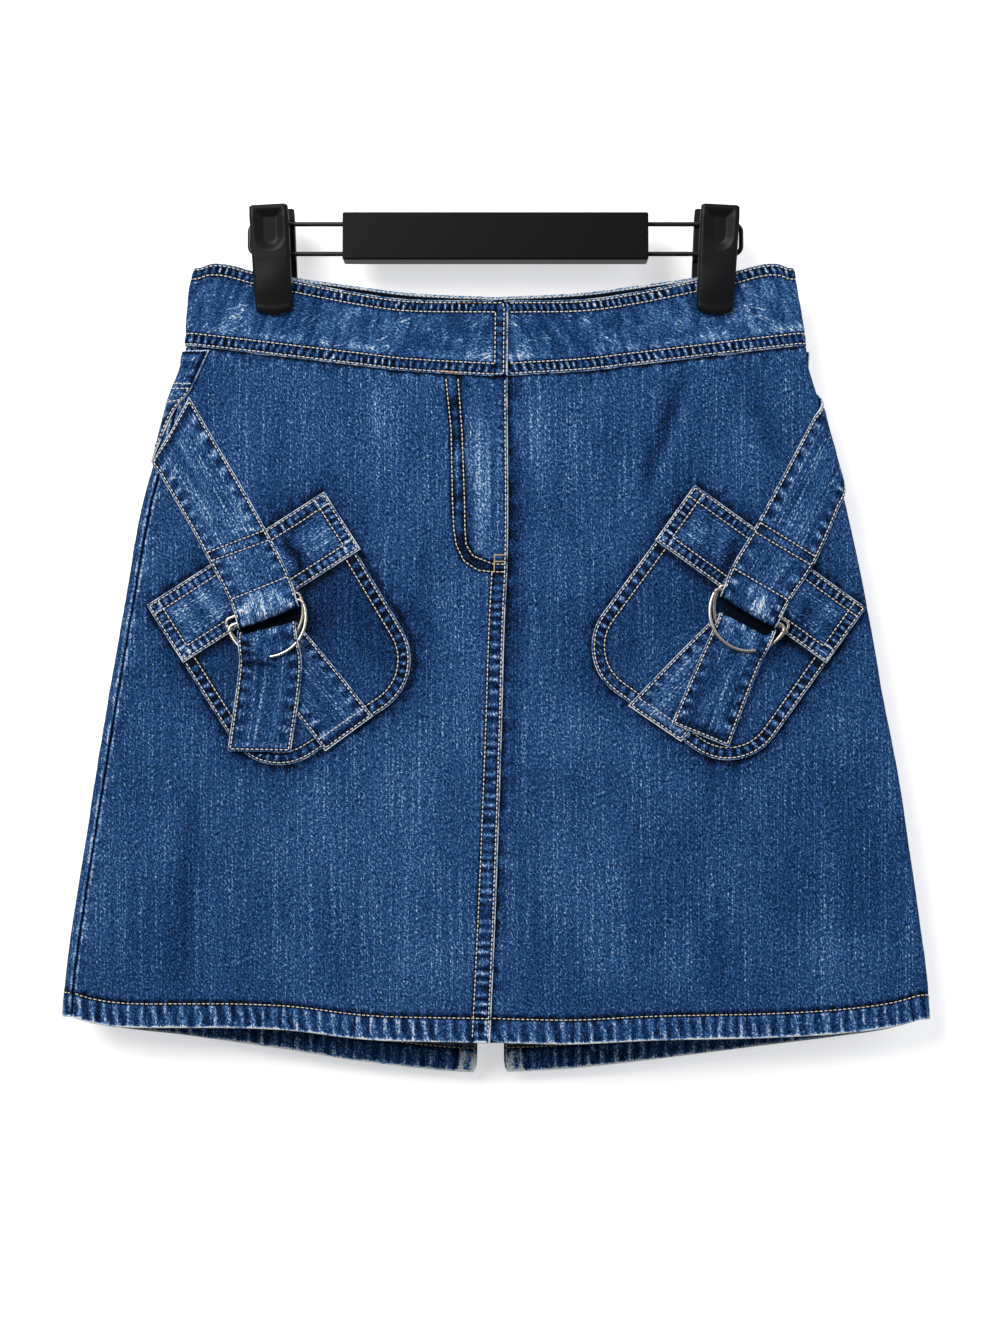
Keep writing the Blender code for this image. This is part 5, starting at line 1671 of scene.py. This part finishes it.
def centre_line(c, start, stop):
    """A row at a distance c from the lap's edge, or at one that changes evenly between two."""
    drop, c = np.linspace(start, stop, 40), np.atleast_1d(c)
    return from_lap(np.stack([np.interp(drop, np.linspace(start, stop, len(c)), c), drop], axis=-1))


# Ends of the satin bars at the fly's foot: distance from the lap's edge, drop
FLY_BARS = (((7.6, 197.2), (1.4, 197.2)), ((7.6, 201.0), (1.4, 201.0)), ((7.6, 197.2), (7.6, 206.8)))

rows = [
    hem_stitches(FRONT_LEFT, 1.0, FRONT_LEFT.across[-1] - 1.0),
    stitch_row(FRONT_LEFT, seen(FRONT_LEFT, centre_line(1.5, 96.5, 474.0)), CREAM),
    stitch_row(FRONT_LEFT, seen(FRONT_LEFT, centre_line([8.8, 10.3], 207.0, 474.0)), PALE_GOLD),
]
for fly_row in (FLY_OUTER, FLY_INNER):
    rows.append(stitch_row(FRONT_LEFT, seen(FRONT_LEFT, from_lap(fly_row)), PALE_GOLD))
for fly_bar in FLY_BARS:
    rows += bar_tack(FRONT_LEFT, *seen(FRONT_LEFT, from_lap(fly_bar)), 0.6, 0.45)
sew("thread_front_left", rows)
sew("thread_front_right", [hem_stitches(FRONT_RIGHT, 9.6, FRONT_RIGHT.across[-1] - 1.0)])
for side, back in (("left", BACK_LEFT), ("right", BACK_RIGHT)):
    width, height = back.across[-1], back.down[-1]
    foot, hem_row = height - 1.2, height - HEM_DEPTH
    near, far, facing = (at if side == "left" else width - at for at in (FIRST_ROW, 8.0, 9.8))
    ends = (near, width - 1.0) if side == "left" else (1.0, near)
    sew(f"thread_back_{side}", [
        stitch_row(back, ((near, 1.5), (near, foot)), CREAM),
        stitch_row(back, ((far, 1.5), (far, hem_row)), CREAM),
        hem_stitches(back, *ends), hem_stitches(back, *ends, behind=True),
        stitch_row(back, ((near, height - 60), (near, foot)), CREAM, behind=True),
        stitch_row(back, ((facing, hem_row), (facing, foot)), GOLD, behind=True),
    ])

band_rows = (FIRST_ROW, BAND_UPPER, BAND_HEIGHT - BAND_LOWER, BAND_HEIGHT - FIRST_ROW)
width = BAND_LEFT.across[-1]
last, second = (width - row for row in BAND_END_ROWS)
third, low = band_rows[2], 42.8
band_paths = (
    (((1.0, FIRST_ROW), (width - 30, FIRST_ROW)), CREAM),
    (((width - 30, FIRST_ROW), (width - 15, FIRST_ROW)), 0.85),
    (((width - 15, FIRST_ROW), (width - 3.4, FIRST_ROW)), CREAM),
    (((1.0, BAND_UPPER), (second, BAND_UPPER)), CREAM),
    (((1.0, third), (second, third)), CREAM),
    (((1.0, low), (last, low)), CREAM),
    (((width - 3.4, FIRST_ROW), (last, 4.2), (last, low)), CREAM),
    (((second, BAND_UPPER), (second, third)), CREAM),
)
rows = [stitch_row(BAND_LEFT, path, tone) for path, tone in band_paths]
sew("thread_band_left", rows + bar_tack(BAND_LEFT, (width - 38.0, 42.6), (width - 28.0, 43.2)))
width = BAND_RIGHT.across[-1]
sew("thread_band_right", [
    stitch_row(BAND_RIGHT, ((23.0, at), (width - 1.0, at)), CREAM) for at in band_rows
])
width = BAND_BACK.across[-1]
rows = [stitch_row(BAND_BACK, ((1.0, at), (width - 1.0, at)), CREAM) for at in band_rows]
rows.append(stitch_row(BAND_BACK, ((1.0, FIRST_ROW), (width - 1.0, FIRST_ROW)), PALE_GOLD, behind=True))
sew("thread_band_back", rows)

for pocket in POCKETS:
    side = pocket[0]
    cloth, flap = POCKET_CLOTH[side], FLAP_CLOTH[side]
    rows = [stitch_row(cloth, seen(cloth, pocket_outline(pocket, inset)), tone)
            for inset, tone in ((FIRST_ROW, CREAM), (POCKET_SECOND, 0.25))]
    sew(f"thread_pocket_{side}", rows)
    rows = [stitch_row(flap, path, tone) for inset in (FIRST_ROW, POCKET_SECOND)
            for path, tone in box_rows(FLAP_WIDTH, FLAP_HEIGHT, inset)]
    sew(f"thread_flap_{side}", rows)
    upper, lower, tab = UPPER_CLOTH[side], LOWER_CLOTH[side], TAB_CLOTH[side]
    rows = along_strap(upper, FIRST_ROW, upper.over_end - 1.5)
    rows += [across_strap(upper, upper.over_end - from_fold, tone) for from_fold, tone in STRAP_CROSS]
    rows.append(across_strap(upper, FIRST_ROW))
    sew(f"thread_upper_strap_{side}", rows)
    rows = along_strap(lower, lower.fold + 2.0, lower.length - 1.2)
    rows.append(across_strap(lower, lower.length - FIRST_ROW))
    rows += along_strap(lower, 1.2, lower.fold - 6.0, behind=True)
    rows.append(across_strap(lower, FIRST_ROW, behind=True))
    rows.append(across_strap(lower, POCKET_SECOND, 0.25, behind=True))
    rows += bar_tack(lower, (1.0, 1.5), (1.0, 8.0), 0.3)
    rows += bar_tack(lower, (lower.width - 1.0, 1.5), (lower.width - 1.0, 8.0), 0.55)
    sew(f"thread_lower_strap_{side}", rows)
    rows = along_strap(tab, TAB_CROSS[1], tab.length - FIRST_ROW)
    rows += [across_strap(tab, at, inset=1.0) for at in TAB_CROSS]
    sew(f"thread_tab_{side}", rows)
print("threads sewn")

# %% [markdown]
# ## Rings and the hanger's wire
#
# The D-rings are bent from round steel wire and nickel plated. The hanger's wire is one loop of coated steel
# that runs through the bar. Both are a circle swept along a closed path, with enough sides to look round.

# %% Rings and the hanger's wire
WIRE_RADIUS = 1.35
WIRE_HALF = 142.0
WIRE_TOP = 5.6
WIRE_BOTTOM = 22.8
WIRE_CORNER = 4.5
WIRE_SIDES = 16
RING_SIDES = 14
SCRATCH = 0.0006


def metal(name, base, roughness):
    """Plated metal: its colour and roughness are the same all over but for fine handling marks."""
    material, tree, shader = new_material(name)
    place = node(tree, "TexCoord").outputs["Object"]
    marks = node(tree, "TexNoise", Vector=place, Scale=1 / SCRATCH, Detail=2.0).outputs["Fac"]
    rough = ranged(tree, marks, 0.3, 0.7, roughness - 0.06, roughness + 0.08)
    set_values(shader, Base_Color=base, Metallic=1.0)
    tree.links.new(rough, shader.inputs["Roughness"])
    return material


def black_finish(name, base, roughness, texture, strength, gloss=0.5):
    """Moulded or coated black: a dielectric with a fine eggshell surface."""
    material, tree, shader = new_material(name)
    place = node(tree, "TexCoord").outputs["Object"]
    grain = node(tree, "TexNoise", Vector=place, Scale=1 / texture, Detail=2.0).outputs["Fac"]
    bump = node(tree, "Bump", Height=grain, Strength=strength, Distance=0.0001)
    set_values(shader, Base_Color=base, Roughness=roughness, IOR=1.53, Specular_IOR_Level=gloss)
    tree.links.new(bump.outputs["Normal"], shader.inputs["Normal"])
    return material


nickel = metal("satin nickel plate", "#e0dbd0", 0.36)
black_wire = black_finish("black coated steel wire", "#0c0d0e", 0.35, 0.002, 0.1)
bar_plastic = black_finish("satin black moulded plastic, bar", "#08090b", 0.36, 0.0008, 0.12, 0.16)
clip_plastic = black_finish("satin black moulded plastic, clips", "#101114", 0.42, 0.0008, 0.12, 0.17)


def tube(name, path, radius, material, sides):
    """A circle swept round a closed path: its frame is the path's direction and its mean plane's normal."""
    ahead = unit(np.roll(path, -1, axis=0) - np.roll(path, 1, axis=0))
    centre = path - path.mean(axis=0)
    plane = np.cross(centre, np.roll(centre, -1, axis=0)).sum(axis=0)
    side = unit(np.cross(ahead, unit(plane)))
    up = np.cross(side, ahead)
    angle = np.arange(sides) * 2 * np.pi / sides
    circle = side[:, None] * np.cos(angle)[:, None] + up[:, None] * np.sin(angle)[:, None]
    points = path[:, None] + radius * circle
    index = np.arange(len(path) * sides).reshape(len(path), sides)
    onward, beside = np.roll(index, -1, axis=0), np.roll(index, -1, axis=1)
    corner = np.roll(onward, -1, axis=1)
    faces = np.stack([index, onward, corner, beside], axis=-1).reshape(-1, 4)
    return mesh_object(name, points, faces.tolist(), [material])


for ring_row in RINGS:
    ring_walk, ring_drop, ring_lift = ring_line(ring_row)
    ring_place = skin(dict(SIDES)[ring_row[1]] * ring_walk, ring_drop, ring_lift)
    ring_name = f"{ring_row[0]}_{ring_row[1]}"
    ring = tube("ring_wire_" + ring_name, ring_place, RING_WIRE, nickel, RING_SIDES)
    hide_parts("ring_" + ring_name)


def wire_path():
    """The wire's loop: two long rods joined by rounded ends."""
    quarter = np.linspace(0, np.pi / 2, 9)
    half = (WIRE_BOTTOM - WIRE_TOP) / 2
    parts = []
    for start, sign_x, sign_z in ((0, 1, 1), (1, 1, -1), (2, -1, -1), (3, -1, 1)):
        angle = np.pi / 2 - quarter - start * np.pi / 2
        x = sign_x * (WIRE_HALF - WIRE_CORNER) + WIRE_CORNER * np.cos(angle)
        z = sign_z * (half - WIRE_CORNER) + WIRE_CORNER * np.sin(angle)
        parts.append(np.stack([x, 0 * x, z - (WIRE_TOP + half)], axis=-1))
    return np.concatenate(parts)


hanger_wire = tube("hanger_wire_loop", wire_path(), WIRE_RADIUS, black_wire, WIRE_SIDES)
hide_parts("hanger_wire")
print("rings and wire:", len(RINGS) + 1)

# %% [markdown]
# ## Clips
#
# Each clip has two moulded jaws. The front one has a U-shaped thumb recess with bevelled walls and a rounded
# body below it, and the foot of both bows down in the middle. A jaw is a height field: for each place across
# and down it, the outer face stands so far out, less what its round corners and the recess take away.

# %% Clips
# Columns: side, x, tilt, rear_shift
CLIPS = (("left", -130.4, 3.0, 2.6), ("right", 129.2, -3.0, -2.6))
CLIP_WIDTH = 22.0
CLIP_BOTTOM = -56.4
CLIP_BOW = 2.2
CLIP_BOW_REACH = 14.0
# Columns: height, width_share, inner, outer
JAW = (
    (4.2, 0.90, 8.6, 12.6), (3.4, 1.00, 8.2, 13), (-2, 1.02, 5.2, 13.2), (-3.4, 1.02, 1.7, 13.2),
    (-26, 1.00, 1.7, 11.8), (-28, 1.00, 4.9, 11.6), (-45, 0.98, 4.9, 10), (-52.6, 0.96, 4.9, 8.8),
    (-55.4, 0.94, 5.1, 8.2), (-56.4, 0.88, 5.6, 7.6),
)
JAW_ROUND = 2.1
RECESS_HALF = 8.3
RECESS_TOP = 1.6
RECESS_FOOT = -22.0
RECESS_DEPTH = 2.2
BEVEL = 4.2


def recess(x, z):
    """Depth of the thumb recess: zero at its mouth's outline and full one bevel's width inside it."""
    round_top = RECESS_FOOT + RECESS_HALF
    in_side = np.where(z < round_top, RECESS_HALF - np.hypot(x, z - round_top), RECESS_HALF - np.abs(x))
    return RECESS_DEPTH * np.clip(np.minimum(in_side, RECESS_TOP - z) / BEVEL, 0, 1)


def make_jaw(side, x_centre, tilt, shift, front):
    """One jaw, as a closed shell between its inner and outer face, turned by its clip's tilt."""
    height, width, inner, outer = np.array(JAW).T
    levels = [height, np.linspace(height[0], CLIP_BOTTOM, 64), [4.0, 3.8, -56.2, -55.9]]
    z = np.unique(np.concatenate(levels))[::-1]
    columns = (width * CLIP_WIDTH / 2, inner, outer)
    half, near, far = (np.interp(z, height[::-1], values[::-1])[:, None] for values in columns)
    share = np.unique(np.concatenate([np.linspace(-1, 1, 33), 1 - np.array([0.01, 0.03, 0.06, 0.1, 0.15])]))
    share = np.unique(np.concatenate([share, -share]))
    x = half * share
    off = half - np.abs(x)
    corner = JAW_ROUND - np.sqrt(JAW_ROUND**2 - (JAW_ROUND - np.clip(off, 0, JAW_ROUND)) ** 2)
    z = z[:, None]
    face = far - corner * 0.75
    if front:
        body = 1.1 * bell((z + 40.0) / 11.0) * (1 - share**2)
        lip = 0.35 * bell((z + 54.0) / 1.2)
        face = face + (body + lip) - recess(x, z)
    low = ease(CLIP_BOTTOM + CLIP_BOW_REACH, CLIP_BOTTOM, z)
    drop = z - CLIP_BOW * low * (1 - share**2)
    side_y = -1.0 if front else 1.0
    outer_grid = np.stack([x, side_y * np.maximum(face, near + 0.4), drop], axis=-1)
    inner_grid = np.stack([x, side_y * near + 0 * x, drop], axis=-1)
    if not front:
        outer_grid, inner_grid = outer_grid[:, ::-1], inner_grid[:, ::-1]
    faces = shell_faces(*outer_grid.shape[:2])[2]
    points = np.concatenate([outer_grid.reshape(-1, 3), inner_grid.reshape(-1, 3)])
    cosine, sine = math.cos(math.radians(-tilt)), math.sin(math.radians(-tilt))
    turn = np.array([[cosine, 0, sine], [0, 1, 0], [-sine, 0, cosine]])
    points = points @ turn.T + [x_centre + (0.0 if front else shift), 0, 0]
    place = "front" if front else "rear"
    jaw = mesh_object(f"jaw_{side}_{place}", points, faces.tolist(), [clip_plastic])
    jaw.data.set_sharp_from_angle(angle=math.radians(32))
    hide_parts(f"clip_{side}_{place}_jaw")


for clip in CLIPS:
    make_jaw(*clip, True)
    make_jaw(*clip, False)

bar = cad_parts["hanger_bar"]
print("jaws done, bar kept from the frame:", bar)
bar.data.materials.clear()
bar.data.materials.append(bar_plastic)

# %% [markdown]
# ## Studio
#
# The skirt is shown on a plain pale ground, lit mostly by a large soft lamp from the upper left, so its ribs
# throw short shadows to the lower right. The camera stands 1.8 m in front of it, level with its middle.
# The ground bends from floor to wall. Its wall is clear from behind, so that the back can be looked at too.

# %% Studio
CAMERA_AWAY = 1.81
TO_CLOTH = 1.8
FRAME_TALL = 0.7665
FRAME_SHAPE = 0.75
FILM = 36.0


def make_ground():
    """A floor that bends up into a wall behind the skirt: a profile of two lines and a quarter circle."""
    turn = np.linspace(0, np.pi / 2, 25)
    radius, wall_y, floor_z = 0.6, 0.034, -1.3
    y = np.concatenate([[-4.0], wall_y - radius + radius * np.sin(turn), [wall_y]])
    z = np.concatenate([[floor_z], floor_z + radius - radius * np.cos(turn), [2.2]])
    x = np.array([-4.0, 4.0])
    grid = np.stack(np.broadcast_arrays(x[None, :], y[:, None], z[:, None]), axis=-1) / MM
    index = np.arange(len(y) * 2).reshape(len(y), 2)
    faces = np.stack([index[:-1, 0], index[:-1, 1], index[1:, 1], index[1:, 0]], axis=-1)
    material, tree, shader = new_material("pale studio ground")
    set_values(shader, Base_Color="#f4f4f4", Roughness=0.95, Specular_IOR_Level=0.0)
    set_values(shader, Emission_Color="#ffffff", Emission_Strength=0.5)
    behind = node(tree, "NewGeometry").outputs["Backfacing"]
    clear = node(tree, "BsdfTransparent").outputs[0]
    mix = node(tree, "MixShader", Fac=behind, in_1=shader.outputs[0], in_2=clear)
    tree.links.new(mix.outputs[0], tree.nodes["Material Output"].inputs["Surface"])
    ground = mesh_object("studio_ground", grid, faces.tolist(), [material])
    ground.visible_diffuse = False
    ground.visible_glossy = False
    ground.visible_shadow = False
    return ground


def area_light(name, place, aim, size, power, tint):
    """A round soft light at a place, turned to look at its aim."""
    data = bpy.data.lights.new(name, "AREA")
    data.shape = "DISK"
    data.size, data.energy, data.color = size, power, colour(tint)[:3]
    item = bpy.data.objects.new(name, data)
    bpy.context.scene.collection.objects.link(item)
    item.location = place
    direction = np.array(aim, float) - np.array(place, float)
    flat = math.hypot(direction[0], direction[1])
    item.rotation_euler = (math.atan2(flat, -direction[2]), 0.0, math.atan2(-direction[0], direction[1]))
    return item


ground = make_ground()
world = bpy.data.worlds.new("soft white studio")
bpy.context.scene.world = world
world.use_nodes = True
sky = world.node_tree
direction = node(sky, "SeparateXYZ", Vector=node(sky, "TexCoord").outputs["Generated"])
from_front = ranged(sky, direction.outputs["Y"], -0.95, -0.4, 0.06, 0.7)
from_below = ranged(sky, direction.outputs["Z"], -0.6, 0.1, 0.2, 1.0)
sky.links.new(maths(sky, "MULTIPLY", from_front, from_below), sky.nodes["Background"].inputs["Strength"])
set_values(sky.nodes["Background"], Color="#ffffff")
area_light("key", (-1.1, -2.1, 0.9), (0.0, 0.0, -0.3), 1.5, 62.0, "#fffaf4")
fill = area_light("fill", (1.7, -1.9, 0.3), (0.0, 0.0, -0.3), 1.8, 22.0, "#f6f9ff")
fill.visible_glossy = False

scene = bpy.context.scene
scene.view_settings.view_transform = "Standard"
lens = bpy.data.cameras.new("camera")
lens.sensor_width = FILM
lens.lens = FILM * TO_CLOTH / FRAME_TALL
camera = bpy.data.objects.new("camera", lens)
camera.location = (0.0026, -CAMERA_AWAY, -0.2613)
camera.rotation_euler = (math.pi / 2, 0.0, 0.0)
scene.collection.objects.link(camera)
scene.camera = camera
print("camera field:", round(FRAME_TALL * FRAME_SHAPE, 4), "x", FRAME_TALL, "m")
